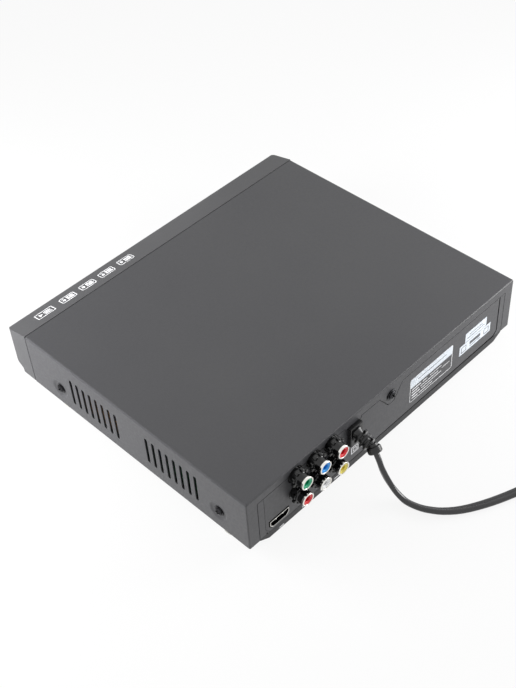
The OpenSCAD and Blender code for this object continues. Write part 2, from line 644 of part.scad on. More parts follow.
module tray_motor() color([0.72, 0.72, 0.74]) in_loader() {
    rod(motor_x, motor_y, floor_z + 0.4, plate_z - flat_gap, 8.5);
    rod(motor_x, motor_y, plate_z - 0.1, plate_z + 1.2, 2.8);
    rod(motor_x, motor_y, plate_z + 1.1, belt_z + 2, 0.8);
}
module motor_pulley() color([0.85, 0.85, 0.82]) in_loader() difference() {
    union() {
        rod(motor_x, motor_y, plate_z + 2.4, belt_z - 1.1, 4.2);
        rod(motor_x, motor_y, belt_z - 1.2, belt_z + 1.2, motor_pulley_r - 0.6);
        rod(motor_x, motor_y, belt_z + 1.1, belt_z + 2.4, 4.2);
    }
    rod(motor_x, motor_y, plate_z, belt_z + 2.2, 0.8 + spin_gap);
}

// Belt as two arcs and two straight runs around the pulleys' pitch circles
belt_len = norm([pulley_x - motor_x, drive_y - motor_y]);
belt_lean = asin((pulley_r - motor_pulley_r) / belt_len);
belt_turn = atan2(drive_y - motor_y, pulley_x - motor_x);
module belt_outline(d) difference() {
    belt_loop(pulley_r + d, motor_pulley_r + d);
    belt_loop(pulley_r - d, motor_pulley_r - d);
}
module belt_loop(big, small) translate([motor_x, motor_y]) rotate(belt_turn) polygon(concat(
    [for (i = [0:12]) polar(small, 90 + belt_lean + i * (180 - 2 * belt_lean) / 12)],
    [for (i = [0:20]) [belt_len, 0] + polar(big, -90 - belt_lean + i * (180 + 2 * belt_lean) / 20)]));
module drive_belt() color([0.07, 0.07, 0.07]) in_loader()
    translate([0, 0, belt_z - 0.6]) linear_extrude(1.2) belt_outline(0.5);

module pulley_gear() color([0.93, 0.93, 0.9]) in_loader() translate([pulley_x, drive_y, 0]) difference() {
    union() {
        translate([0, 0, plate_z + plate_t + 0.3])
            gear(pulley_teeth, wheel_m, 4.2, 180 / pulley_teeth);
        rod(0, 0, belt_z - 1.5, belt_z - 0.7, pulley_r + 0.9);
        rod(0, 0, belt_z - 1.6, belt_z + 1, pulley_r - 0.6);
        rod(0, 0, belt_z + 0.7, belt_z + 1.5, pulley_r + 0.9);
    }
    rod(0, 0, 0, 40, 1.5 + spin_gap);
}

module drive_gear() color([0.9, 0.9, 0.86]) in_loader() translate([drive_x, drive_y, 0]) difference() {
    union() {
        translate([0, 0, plate_z + plate_t + 0.4]) gear(wheel_teeth, wheel_m, 3, 180);
        translate([0, 0, plate_z + plate_t + 3.3]) cylinder(h = 2.2, r = 6);
        translate([0, 0, tray_z - 3.4]) gear(rack_teeth, rack_m, 3, 0);
    }
    rod(0, 0, 0, 40, 2 + spin_gap);
}

module cam_slider() color([0.88, 0.87, 0.8]) in_loader() difference() {
    block(cam_x0, cam_x0 + cam_w, cam_pin_y - 1.3, cam_pin_y + 1.2, 0.4, 15.2);
    along_y(cam_pin_y - 3, cam_pin_y + 3) cam_slot();
}
deck_arm = hinge_y - cam_pin_y;
cam_drop = deck_arm * sin(deck_tilt);
module cam_slot() {
    r = cam_pin_r + 0.3;
    a = atan2(cam_drop, cam_travel);
    for (p = [[0, hinge_z], [-cam_travel, hinge_z - cam_drop]]) translate(p) circle(r);
    translate([0, hinge_z]) rotate(a) translate([-norm([cam_drop, cam_travel]), -r])
        square([norm([cam_drop, cam_travel]), 2 * r]);
}

module traverse_deck() color([0.66, 0.67, 0.68]) in_loader() difference() {
    union() {
        block(-deck_half, deck_half, deck_y0, hinge_y + 2, deck_plate_z, deck_plate_z + deck_t);
        block(-4, 4, cam_pin_y + 3.5, deck_y0 + eps, deck_plate_z, deck_plate_z + deck_t);
        block(-4, 4, cam_pin_y + 3.5, cam_pin_y + 5, hinge_z - 2.5, deck_plate_z + eps);
        rod_y(0, hinge_z, cam_pin_y - 1.5, cam_pin_y + 3.6, cam_pin_r);
        both_sides() {
            block(deck_half - 3, deck_half, hinge_y - 4, hinge_y + 2, hinge_z - 3, deck_plate_z + eps);
            rod_x(hinge_y, hinge_z, deck_half - 0.1, pin_end, hinge_r);
            for (y = [rod_y0, rod_y1 - 4])
                block(rail_x - 3, rail_x + 3, y, y + 4, deck_plate_z + deck_t - eps, rod_z + 1.3);
        }
        rod(sled_x, sled_y, deck_plate_z + deck_t - eps, rod_z + 1.5, 1);
    }
    rod(0, disc_y, 0, 30, 4);
    block(-22, 22, rod_y0 + 7, rod_y1 - 5.6, 0, deck_plate_z + deck_t + 1);
    for (s = [-1, 1]) rod_y(s * rail_x, rod_z, rod_y0 - 1, rod_y1 + 1, rod_r + 0.02);
    rod(sled_x, sled_motor_y, 0, 30, 2.2);
}

module spindle_motor() color([0.7, 0.7, 0.72]) in_loader() {
    ring(0, disc_y, deck_plate_z - 6.5, deck_plate_z - flat_gap, 12, 1 + spin_gap);
    rod(0, disc_y, deck_plate_z - 6.4, deck_plate_z - 5.4, 2);
}
module turntable() color([0.12, 0.12, 0.13]) in_loader() {
    rod(0, disc_y, deck_plate_z - 5.2, recess_z - 2, 1);
    rod(0, disc_y, deck_plate_z + 0.4, recess_z - 0.8, 3.6);
    rod(0, disc_y, recess_z - 0.9, recess_z + 1.5, turntable_r);
    translate([0, disc_y, recess_z + 1.5 - eps]) cylinder(h = 2.4, r1 = 7.4, r2 = 6.2);
}

module sled_motor() color([0.72, 0.72, 0.74]) in_loader() {
    rod(sled_x, sled_motor_y, deck_plate_z - 8, deck_plate_z - flat_gap, 6);
    rod(sled_x, sled_motor_y, deck_plate_z - 0.1, deck_plate_z + 1, 2);
    rod(sled_x, sled_motor_y, deck_plate_z + 0.9, rod_z, 0.5);
}
module sled_pinion() color([0.9, 0.9, 0.86]) in_loader()
    translate([sled_x, sled_motor_y, 0]) difference() {
    translate([0, 0, deck_plate_z + deck_t + 0.2]) gear(sled_pinion_teeth, sled_m, 1.4, -90);
    rod(0, 0, 0, rod_z + 3, 0.5 + spin_gap);
}
module sled_gear() color([0.93, 0.93, 0.9]) in_loader() translate([sled_x, sled_y, 0]) difference() {
    union() {
        translate([0, 0, deck_plate_z + deck_t + 0.3])
            gear(sled_wheel_teeth, sled_m, 1.2, 90 + 180 / sled_wheel_teeth);
        translate([0, 0, deck_plate_z + deck_t + 1.5 - eps]) gear(sled_teeth, sled_m, 1.6, 180);
    }
    rod(0, 0, 0, 40, 1 + spin_gap);
}
module guide_rods() color([0.8, 0.8, 0.82]) in_loader() for (s = [-1, 1])
    rod_y(s * rail_x, rod_z, rod_y0, rod_y1, rod_r);

module pickup_body() color([0.45, 0.46, 0.48]) in_loader() difference() {
    union() {
        block(-28.4, 28.4, pickup_y0, pickup_y0 + pickup_len, deck_plate_z + deck_t + 0.2, rod_z + 1.7);
        block(-20, 20, pickup_y0 + 1, pickup_y0 + pickup_len - 1, deck_plate_z - 5,
            deck_plate_z + deck_t + 0.3);
        block(-9, 9, lens_y - 6.5, lens_y + 7.5, rod_z + 1.6, tray_z + 1.2);
        // rack arm beside the body
        translate([sled_rack_x, 0, rod_z + 0.1]) mirror([1, 0, 0])
            rack(sled_m, pickup_y0 - 1, sled_y + 4, sled_y, 3.4, 1.4);
        block(28.3, sled_rack_x - 2.8, pickup_y0, pickup_y0 + pickup_len, rod_z + 0.1, rod_z + 1.5);
    }
    rod_y(-rail_x, rod_z, 0, 200, rod_r + spin_gap);
    block(rail_x - rod_r - 0.1, 40, 0, 200, rod_z - rod_r - 0.1, rod_z + 0.05);
    rod_y(rail_x, rod_z, 0, 200, rod_r + 0.1);
    rod(0, lens_y, rod_z + 2.5, 40, 4.2);
}
module objective_lens() color([0.55, 0.6, 0.75]) in_loader() {
    ring(0, lens_y, rod_z + 3, tray_z + 1.6, 4.1, 2.4);
    rod(0, lens_y, rod_z + 3.4, tray_z + 1.3, 2.45);
}

module clamper_bridge() color([0.7, 0.71, 0.72]) in_loader() difference() {
    union() {
        block(-loader_w / 2, loader_w / 2, disc_y - 15, disc_y + 15, bridge_z, bridge_z + bridge_t);
        rod(0, disc_y, bridge_z, bridge_z + bridge_t, 24);
        for (s = [-1, 1]) slab(0, loader_w - 8, disc_y + s * 13 - 0.6, disc_y + s * 13 + 0.6,
            bridge_z + bridge_t + 1, 2 + eps);
    }
    rod(0, disc_y, bridge_z - 1, bridge_z + bridge_t + 6, 11.9);
    rod(0, disc_y, bridge_z + bridge_t, bridge_z + bridge_t + 6, 15.6);
}
module clamper_puck() color([0.85, 0.85, 0.84]) in_loader() difference() {
    union() {
        rod(0, disc_y, recess_z + 3, recess_z + 5, turntable_r);
        rod(0, disc_y, recess_z + 4.9, bridge_z + bridge_t + 0.1, 11.2);
        rod(0, disc_y, bridge_z + bridge_t + flat_gap, bridge_z + bridge_t + 1.3, 14);
    }
    rod(0, disc_y, recess_z, recess_z + 4.6, 8.2);
}

module loader_board() color([0.13, 0.32, 0.17]) in_loader() {
    block(loader_w / 2 + flat_gap, loader_w / 2 + board_t, main_y0 + 2, main_y0 + 34, 13, bridge_z - 1);
    block(loader_w / 2 + board_t - eps, loader_w / 2 + board_t + 1.8, main_y0 + 8, main_y0 + 26, 15, 19);
}

// ---------- electronics ----------
module posts_cut(list) for (p = list) rod(p[0], p[1], 0, 10, 1.3);
module main_board() color([0.13, 0.34, 0.18]) shell() difference() {
    block(pcb_x0, pcb_x1, main_y0, main_y1, pcb_z, pcb_top);
    posts_cut(main_posts);
}
module chip(x, w, y0, y1, h) block(x - w / 2, x + w / 2, y0, y1, 0, h);
module main_chips() color([0.1, 0.1, 0.11]) shell() translate([0, main_y0, pcb_top]) {
    chip(pcb_mid, 22, 24, 46, 1.6);
    chip(pcb_mid, 14, 50, 60, 1.2);
    chip(pcb_mid, 5, 63, 74, 3.6);
    chip(pcb_x0 + 12, 8, 52, 58, 1.6);
    chip(pcb_x0 + 14, 12, 64, 72, 2.2);
    // sockets of the two ribbon cables
    chip(cable_x + cable_w / 2, 12, 8, 12, 4);
    chip(pcb_x0 + 7, 4, 10, 24, 5);
}
module main_capacitors() color([0.2, 0.22, 0.35]) shell() translate([0, main_y0, pcb_top])
    for (p = [[pcb_x0 + 14, 20], [pcb_x1 - 8.8, 60], [pcb_x1 - 8.8, 69], [pcb_x1 - 16.8, 12],
        [pcb_x1 - 6.8, 16]]) {
        rod(p[0], p[1], 0, 8, 3.1);
        rod(p[0], p[1], 7.9, 8.2, 2.6);
    }

// Jack block: body on the board, bosses through the back, toothed collars outside
module jack_block() color([0.06, 0.06, 0.07]) shell() difference() {
    union() {
        block(jack_x - 2 * jack_pitch - 6.6, jack_x + 5.9, strip_y - 13, strip_y - flat_gap, pcb_top,
            jack_z + jack_row + 6);
        jack_places() {
            rod_y(0, 0, strip_y - 0.2, rear_y + 2.6, jack_boss);
            rod_y(0, 0, rear_y + 2.5, rear_y + 3.7, jack_boss);
            for (k = [0:7]) rotate([0, k * 45 + 22.5, 0])
                block(-1.1, 1.1, rear_y + 2.4, rear_y + 3.7, 4.4, jack_boss + 0.7);
        }
    }
    jack_places() rod_y(0, 0, strip_y - 14, rear_y + 20, jack_r - shell_step + flat_gap);
}
module jack_shells() color([0.82, 0.82, 0.84]) shell() jack_places() difference() {
    union() {
        rod_y(0, 0, strip_y - 8.5, rear_y + shell_y, jack_r - shell_step);
        rod_y(0, 0, rear_y + shell_y - eps, rear_y + jack_out, jack_r);
    }
    rod_y(0, 0, strip_y - 10, rear_y + jack_out + 1, 3.3);
}
module jack_insert(c, k) shell() jack_place(c, k) difference() {
    rod_y(0, 0, strip_y - 8.5, rear_y + jack_out - 0.3, 3.3 - flat_gap);
    rod_y(0, 0, strip_y - 2, rear_y + jack_out + 1, jack_bore);
}
module insert_green() color([0.1, 0.62, 0.36]) jack_insert(0, 1);
module insert_blue() color([0.1, 0.45, 0.8]) jack_insert(1, 1);
module insert_red() color([0.8, 0.1, 0.1]) for (p = [[2, 1], [0, 0]]) jack_insert(p[0], p[1]);
module insert_white() color([0.92, 0.92, 0.9]) jack_insert(1, 0);
module insert_yellow() color([0.9, 0.8, 0.15]) jack_insert(2, 0);

module hdmi_socket() color([0.78, 0.78, 0.79]) shell() translate([hdmi_x, 0, hdmi_z]) difference() {
    along_y(strip_y - 11, rear_y + 0.5) hdmi_outline(0);
    along_y(strip_y - 10.4, rear_y + 1) hdmi_outline(-0.4);
}
module hdmi_tongue() color([0.09, 0.09, 0.1]) shell() translate([hdmi_x, 0, hdmi_z]) {
    along_y(strip_y - 10.35, strip_y - 7) hdmi_outline(-0.45);
    block(-5.6, 5.6, strip_y - 7.1, rear_y - 0.8, -0.5, 0.7);
}

module power_board() color([0.62, 0.5, 0.3]) shell() difference() {
    block(pcb_x0, pcb_x1, power_y0, power_y1, pcb_z, pcb_top);
    posts_cut(power_posts);
}
module transformer() color([0.9, 0.8, 0.3]) shell() translate([pcb_mid, power_y0, pcb_top]) {
    for (y = [28, 42]) block(-11, 11, y, y + 4, 0, 16);
    block(-8, 8, 31.9, 42.1, 1, 15);
}
module power_parts() color([0.12, 0.12, 0.14]) shell() translate([0, power_y0, pcb_top]) {
    rod(pcb_x0 + 14, 62, 0, 20, 6.3);
    for (y = [13, 22.5]) rod(pcb_x1 - 8.8, y, 0, 13, 4);
    chip(pcb_x1 - 12, 12, 56.5, 64.5, 12);
    chip(pcb_mid, 12, 48, 55, 10);
    chip(pcb_mid, 22, 16, 18.5, 18);
    chip(pcb_mid, 12, 2, 6, 7);
    rod_y(pcb_x0 + 8, 3, 12, 28, 2.6);
    // socket of the mains leads
    chip(pcb_x0 + 5.4, 5, 46, 56, 8);
}

module ribbon(p, z_add) polygon(concat(p, [for (i = [len(p) - 1:-1:0]) p[i] + [0, z_add]]));
module ribbon_cables() color([0.9, 0.9, 0.88]) shell() {
    along_x(cable_x, cable_x + cable_w) ribbon([[board_y + board_t + 3.1, 11], [10, 27],
        [power_y1, 27.6], [main_y0 + 8, pcb_top + 4.2], [main_y0 + 9.5, pcb_top + 4.2]], 0.4);
    along_y(main_y0 + 11, main_y0 + 23) ribbon([[tray_x + loader_w / 2 + board_t + 2, 17],
        [pcb_x0 + 0.7, 16.6], [pcb_x0 + 6.2, pcb_top + 6], [pcb_x0 + 8.6, pcb_top + 5.2]], 0.4);
}
lead_route = [[relief_x, strip_y - 4.65, relief_z - 2.4], [relief_x, strip_y - 7, relief_z - 2.4],
    [relief_x, strip_y - 12.6, 20], [relief_x + 0.8, strip_y - 15.7, 19], [pcb_x0 - 4.4, strip_y - 15.7, 15],
    [pcb_x0 - 2.4, strip_y - 18.5, 12], [pcb_x0 - 2.4, strip_y - 26, 5], [pcb_x0 - 2.4, power_y0 + 62, 5],
    [pcb_x0 - 1.4, power_y0 + 56, 5.2], [pcb_x0 + 1, power_y0 + 52, 5.4], [pcb_x0 + 2.85, power_y0 + 52, 5.4]];
module mains_leads() color([0.35, 0.2, 0.12]) shell() for (k = [0, 2.7])
    sweep([for (p = lead_route) p + [0, 0, k]], 1.8, 1.8, 8);

// ---------- mains cord ----------
module strain_relief() color([0.05, 0.05, 0.055]) shell() {
    block(relief_x - 5, relief_x + 5, rear_y + flat_gap, rear_y + 4, relief_z - 8, relief_z + 7.6);
    block(relief_x - 4, relief_x + 4, strip_y - 1, rear_y + 0.1, relief_z - 6, relief_z + 6);
    block(relief_x - 5.4, relief_x + 5.4, strip_y - 4.6, strip_y - flat_gap, relief_z - 7, relief_z + 7);
    translate([relief_x, rear_y + 4, boot_z]) rotate([-90 - boot_tilt, 0, 0]) {
        translate([0, 0, -1.6]) cylinder(h = boot_len + 1.4, r1 = 3.9, r2 = 2.8);
        for (i = [0:2]) translate([0, 0, 1.4 + i * 2.9]) cylinder(h = 1.3, r = 4.9 - 0.3 * i);
    }
    translate(collar_at) rotate([-90 - collar_tilt, 0, -collar_turn]) translate([0, 0, -collar_len / 2])
        cylinder(h = collar_len, r = 4.6);
}
module mains_cord() color([0.06, 0.06, 0.065]) shell() {
    sweep(concat([cord_start, cord_start + 1.5 * collar_dir], route), cord_w, cord_t, 8);
    sweep(tail, cord_w, cord_t, 8);
}
module cord_coil() color([0.06, 0.06, 0.065]) shell() translate([coil_centre[0], coil_centre[1], -base_z])
    rotate_extrude() translate([coil_mid_r - coil_half, 0]) square([2 * coil_half, coil_h]);
module at_plug() shell() translate(plug_at) rotate([0, 0, plug_turn]) children();
module mains_plug() color([0.06, 0.06, 0.065]) at_plug() {
    rod_x(0, 0, flat_gap, 12, 4);
    block(11.9, 38, -11, 11, -7.4, 7.2);
}
module plug_blades() color([0.8, 0.72, 0.45]) at_plug() for (y = [-6.35, 6.35])
    block(38 + flat_gap, 54, y - 0.75, y + 0.75, -3.2, 3.2);

top_cover();
chassis_pan();
rear_panel();
front_panel();
display_window();
feet();
cover_screws();
inner_screws();
front_board();
front_board_parts();
led_display();
usb_socket();
usb_tongue();
power_button();
open_button();
play_button();
stop_button();
loader_frame();
disc_tray();
tray_door();
tray_motor();
motor_pulley();
drive_belt();
pulley_gear();
drive_gear();
cam_slider();
traverse_deck();
spindle_motor();
turntable();
sled_motor();
sled_pinion();
sled_gear();
guide_rods();
pickup_body();
objective_lens();
clamper_bridge();
clamper_puck();
loader_board();
main_board();
main_chips();
main_capacitors();
jack_block();
jack_shells();
insert_green();
insert_blue();
insert_red();
insert_white();
insert_yellow();
hdmi_socket();
hdmi_tongue();
power_board();
transformer();
power_parts();
ribbon_cables();
mains_leads();
strain_relief();
mains_cord();
cord_coil();
mains_plug();
plug_blades();
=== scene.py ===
import json
from math import cos, pi, radians, sin

import bmesh
import bpy
from mathutils import Matrix, Vector
from mathutils.geometry import interpolate_bezier

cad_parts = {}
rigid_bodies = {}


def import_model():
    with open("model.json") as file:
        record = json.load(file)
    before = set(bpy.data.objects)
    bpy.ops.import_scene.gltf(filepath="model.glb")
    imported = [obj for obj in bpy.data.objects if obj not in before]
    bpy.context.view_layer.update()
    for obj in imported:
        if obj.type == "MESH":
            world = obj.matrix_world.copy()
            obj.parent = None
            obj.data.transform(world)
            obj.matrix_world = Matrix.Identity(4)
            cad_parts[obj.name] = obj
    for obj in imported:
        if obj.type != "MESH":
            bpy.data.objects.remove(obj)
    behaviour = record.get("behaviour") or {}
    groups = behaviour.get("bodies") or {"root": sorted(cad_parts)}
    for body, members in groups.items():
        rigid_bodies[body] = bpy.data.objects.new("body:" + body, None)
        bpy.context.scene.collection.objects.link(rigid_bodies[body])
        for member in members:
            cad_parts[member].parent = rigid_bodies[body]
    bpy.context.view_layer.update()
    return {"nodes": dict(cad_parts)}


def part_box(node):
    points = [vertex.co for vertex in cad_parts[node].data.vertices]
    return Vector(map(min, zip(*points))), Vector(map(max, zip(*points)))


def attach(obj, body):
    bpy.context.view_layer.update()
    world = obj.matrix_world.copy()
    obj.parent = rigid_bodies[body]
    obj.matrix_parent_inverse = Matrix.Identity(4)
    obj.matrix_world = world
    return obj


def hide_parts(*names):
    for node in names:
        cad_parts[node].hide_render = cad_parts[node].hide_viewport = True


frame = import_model()
cadParts = frame["nodes"]
scene = bpy.context.scene
scene.view_settings.view_transform = "Standard"

# Shapes are drawn in millimetres: x from the player's middle, y back from the seam between front and
# cover, z up from the cover's lower edge. This turns them into the frame's metres.
toFrame = Matrix.Translation((0, -0.0859, 0.0072)) @ Matrix.Scale(0.001, 4)
# Drawn flat, then stood up on the back: width stays, height becomes z, thickness points backwards
ontoBack = Matrix(((1, 0, 0, 0), (0, 0, 1, 0), (0, 1, 0, 0), (0, 0, 0, 1)))
ontoFront = Matrix(((1, 0, 0, 0), (0, 0, -1, 0), (0, 1, 0, 0), (0, 0, 0, 1)))

viewpoint = {"place": (0.34996, 0.3725, 0.52394), "turn": 137.472, "tilt": 44.933, "roll": -4.24, "lens": 62.39}
cameraData = bpy.data.cameras.new("productCamera")
cameraData.lens = viewpoint["lens"]
productCamera = bpy.data.objects.new("productCamera", cameraData)
productCamera.matrix_world = (Matrix.Translation(viewpoint["place"])
                              @ Matrix.Rotation(radians(viewpoint["turn"]), 4, "Z")
                              @ Matrix.Rotation(radians(viewpoint["tilt"]), 4, "X")
                              @ Matrix.Rotation(radians(viewpoint["roll"]), 4, "Z"))
scene.collection.objects.link(productCamera)
scene.camera = productCamera
print("camera stands")


def fromHex(code):  # sRGB hex to the linear colour a shader takes
    shares = [int(code[i:i + 2], 16) / 255 for i in (1, 3, 5)]
    return [s / 12.92 if s <= 0.04045 else ((s + 0.055) / 1.055) ** 2.4 for s in shares] + [1]


def addNode(tree, kind, settings=None, links=None):
    node = tree.nodes.new("ShaderNode" + kind)
    for key, value in (settings or {}).items():
        if isinstance(key, int) or key in node.inputs:
            node.inputs[key].default_value = value
        else:
            setattr(node, key, value)
    for key, source in (links or {}).items():
        tree.links.new(source, node.inputs[key])
    return node


waveLength = 0.314  # from crest to crest of a wave pattern that isn't scaled


# A finish is its colour and roughness, then patterns laid over each other. A pattern has a size in
# millimetres and may tint the colour, raise the surface by so many millimetres or vary the gloss.
def makeFinish(name, colour, roughness, patterns, shader=None):
    finish = bpy.data.materials.new(name)
    finish.use_nodes = True
    tree = finish.node_tree
    tree.nodes.clear()
    surface = addNode(tree, "BsdfPrincipled", {"Base Color": fromHex(colour), "Roughness": roughness,
                                               **(shader or {})})
    addNode(tree, "OutputMaterial", links={"Surface": surface.outputs["BSDF"]})
    where = addNode(tree, "TexCoord").outputs["Object"]
    tone = gloss = relief = None
    for pattern in patterns:
        size = 1000 / pattern["mm"] * (waveLength if pattern["draw"] == "TexWave" else 1)
        spread = addNode(tree, "Mapping", {"Scale": [size / s for s in pattern.get("stretch", (1, 1, 1))]},
                         {"Vector": where})
        drawn = addNode(tree, pattern["draw"], {"Scale": 1, **pattern.get("set", {})},
                        {"Vector": spread.outputs[0]})
        low, high = pattern.get("span", (0.35, 0.65))
        level = addNode(tree, "MapRange", {"From Min": low, "From Max": high},
                        {"Value": drawn.outputs[pattern.get("out", 0)]}).outputs[0]
        if "tint" in pattern:
            share = addNode(tree, "Math", {"operation": "MULTIPLY", 1: pattern.get("share", 1)}, {0: level})
            mixed = addNode(tree, "Mix", {"data_type": "RGBA", 6: fromHex(colour), 7: fromHex(pattern["tint"])},
                            {0: share.outputs[0], **({6: tone} if tone else {})})
            tone = mixed.outputs[2]
        if "gloss" in pattern:
            middle = 0 if gloss else roughness
            varied = addNode(tree, "MapRange", {"To Min": middle - pattern["gloss"],
                                                "To Max": middle + pattern["gloss"]}, {"Value": level}).outputs[0]
            gloss = addNode(tree, "Math", {}, {0: gloss, 1: varied}).outputs[0] if gloss else varied
        if "relief" in pattern:
            raised = addNode(tree, "Bump", {"Distance": pattern["relief"] / 1000},
                             {"Height": level, **({"Normal": relief} if relief else {})})
            relief = raised.outputs[0]
    for socket, source in (("Base Color", tone), ("Roughness", gloss), ("Normal", relief)):
        if source:
            tree.links.new(source, surface.inputs[socket])
    return finish


metal = {"Metallic": 1.0}
# Polyester powder baked on steel: a quiet satin grey, broken by the orange peel of the melted powder.
# Its specks are drawn coarser than they are, so that they show.
bakedPaint = makeFinish("bakedPowderPaint", "#434345", 0.46, [
    {"draw": "TexNoise", "mm": 90, "tint": "#3d3d40", "share": 0.7},
    {"draw": "TexNoise", "mm": 1.4, "relief": 0.012, "gloss": 0.04},
    {"draw": "TexVoronoi", "mm": 0.5, "tint": "#4c4c4f", "share": 0.35, "span": (0.2, 0.9)}])
# The same powder on the chassis, coloured darker than the cover as painted shade on the band under the back
shadedChassisPaint = makeFinish("chassisPaintWithPaintedShade", "#1b1b1d", 0.52, [
    {"draw": "TexNoise", "mm": 40, "tint": "#242426", "share": 0.7},
    {"draw": "TexNoise", "mm": 1.2, "relief": 0.01, "gloss": 0.04}])
# painted shade: near black for the edge faces round gaps and openings, so that they read dark
gapShadeBlack = makeFinish("paintedGapShadeBlack", "#0b0b0c", 0.7, [
    {"draw": "TexNoise", "mm": 0.6, "stretch": (8, 1, 1), "tint": "#151517", "gloss": 0.08}])
# Zinc laid on steel in a bath: pale grey flakes, each turned a little, so that they catch light in patches
zincSheet = makeFinish("zincPlatedSteel", "#9b9da0", 0.38, [
    {"draw": "TexVoronoi", "mm": 7, "out": "Color", "tint": "#b7babb", "share": 0.8, "span": (0, 1)},
    {"draw": "TexVoronoi", "mm": 7, "out": "Color", "gloss": 0.09, "span": (0, 1)},
    {"draw": "TexNoise", "mm": 0.8, "stretch": (1, 6, 1), "relief": 0.004}], metal)
# Steel blackened in hot salts: near black with a cool oily gloss on its edges
blackOxide = makeFinish("blackOxideSteel", "#2f2f31", 0.24, [
    {"draw": "TexNoise", "mm": 1.1, "tint": "#414144", "gloss": 0.07}], metal)
# ABS moulded against a spark-eroded tool: a pale fine grain that scatters the light evenly
grainedAbs = makeFinish("grainedAbs", "#4a4a4c", 0.5, [
    {"draw": "TexVoronoi", "mm": 0.55, "tint": "#545456", "share": 0.5, "relief": 0.02, "span": (0.1, 0.8)},
    {"draw": "TexNoise", "mm": 60, "tint": "#444446", "share": 0.6}])
# ABS moulded in a polished tool and rubbed: keys a shade smoother than the front around them
satinAbs = makeFinish("satinAbs", "#404043", 0.33, [
    {"draw": "TexNoise", "mm": 9, "tint": "#49494c", "share": 0.6, "gloss": 0.05},
    {"draw": "TexNoise", "mm": 0.4, "relief": 0.003}])
# Cast acrylic with dye in it: nearly black and mirror smooth, red where light comes through
smokedAcrylic = makeFinish("smokedAcrylic", "#2a0d10", 0.05, [
    {"draw": "TexNoise", "mm": 14, "tint": "#1b090b", "gloss": 0.02}],
    {"Transmission Weight": 0.55, "IOR": 1.49, "Coat Weight": 0.4, "Coat Roughness": 0.03})
# Thermoplastic rubber moulded in one shot: chalky pale grey with a slight drag to its surface
paleRubber = makeFinish("paleElastomer", "#b9b8b3", 0.68, [
    {"draw": "TexNoise", "mm": 3, "tint": "#a8a7a1", "share": 0.7, "gloss": 0.08},
    {"draw": "TexNoise", "mm": 0.5, "relief": 0.02}])
# Glass-fibre laminate under green solder mask: copper runs show through as lighter lines
maskedBoard = makeFinish("solderMaskedLaminate", "#14502b", 0.32, [
    {"draw": "TexBrick", "mm": 9, "out": "Fac", "span": (0, 1), "tint": "#2d7a46", "relief": 0.03,
     "share": 0.8, "set": {"Mortar Size": 0.03, "Row Height": 0.31, "Brick Width": 1.3}},
    {"draw": "TexVoronoi", "mm": 5.2, "tint": "#c9b27c", "share": 0.8, "span": (0.12, 0.08)},
    {"draw": "TexNoise", "mm": 30, "tint": "#0f4524", "share": 0.6, "gloss": 0.05}])
# Paper pressed with phenolic resin: tan, streaked along the paper, dull where it was sawn
paperLaminate = makeFinish("phenolicPaper", "#9a7646", 0.5, [
    {"draw": "TexNoise", "mm": 2.4, "stretch": (1, 14, 1), "tint": "#85632f", "share": 0.7, "gloss": 0.06},
    {"draw": "TexVoronoi", "mm": 6.4, "tint": "#b8b4a8", "share": 0.9, "span": (0.13, 0.09)}])
# Epoxy moulded round the circuits: dull charcoal with a fine mould grain
epoxyCase = makeFinish("mouldedEpoxy", "#222225", 0.58, [
    {"draw": "TexNoise", "mm": 0.45, "relief": 0.012, "gloss": 0.05},
    {"draw": "TexNoise", "mm": 11, "tint": "#2b2b2e", "share": 0.8}])
# Lamp windows cast in red resin behind a grey mask
lampResin = makeFinish("castLampResin", "#8a3018", 0.3, [
    {"draw": "TexWave", "mm": 6.5, "tint": "#3c3436", "span": (0.2, 0.4)},
    {"draw": "TexNoise", "mm": 1.5, "gloss": 0.06}])
# Nickel plated over pressed brass: warm white metal, faint draw lines round it
nickelPlate = makeFinish("nickelPlatedBrass", "#efede8", 0.15, [
    {"draw": "TexNoise", "mm": 0.9, "stretch": (1, 0.25, 1), "gloss": 0.06, "relief": 0.002},
    {"draw": "TexNoise", "mm": 7, "tint": "#dfdcd5", "share": 0.6}], metal)
# Nylon and acetal as they leave the mould: milky white, softly glossy
naturalNylon = makeFinish("naturalNylon", "#dcd9cd", 0.36, [
    {"draw": "TexNoise", "mm": 6, "tint": "#cdc9b9", "share": 0.7, "gloss": 0.06},
    {"draw": "TexNoise", "mm": 0.6, "relief": 0.006}], {"Subsurface Weight": 0.1, "Subsurface Scale": 0.002})
# Polystyrene moulded black, waxy from the mould
blackStyrene = makeFinish("mouldedStyrene", "#232326", 0.42, [
    {"draw": "TexNoise", "mm": 24, "tint": "#2c2c30", "share": 0.8, "gloss": 0.06},
    {"draw": "TexVoronoi", "mm": 0.7, "relief": 0.008, "span": (0.1, 0.8)}])
# Steel drawn into cans and zinc plated: brushed rings of brighter and duller grey
drawnCan = makeFinish("drawnSteelCan", "#a9abae", 0.3, [
    {"draw": "TexNoise", "mm": 0.7, "stretch": (1, 1, 0.2), "gloss": 0.08, "relief": 0.003},
    {"draw": "TexNoise", "mm": 5, "tint": "#94969a", "share": 0.7}], metal)
# Chloroprene cut to a square belt: flat black, slightly greyed where it runs on the wheels
beltRubber = makeFinish("chloropreneBelt", "#161617", 0.78, [
    {"draw": "TexNoise", "mm": 1.8, "tint": "#262627", "gloss": 0.08, "relief": 0.01}])
# Zinc alloy cast under pressure and tumbled: cloudy grey with a sandy skin
castZinc = makeFinish("pressureCastZinc", "#84878b", 0.46, [
    {"draw": "TexNoise", "mm": 0.6, "relief": 0.015, "gloss": 0.06},
    {"draw": "TexNoise", "mm": 9, "tint": "#6f7276", "share": 0.7}], metal)
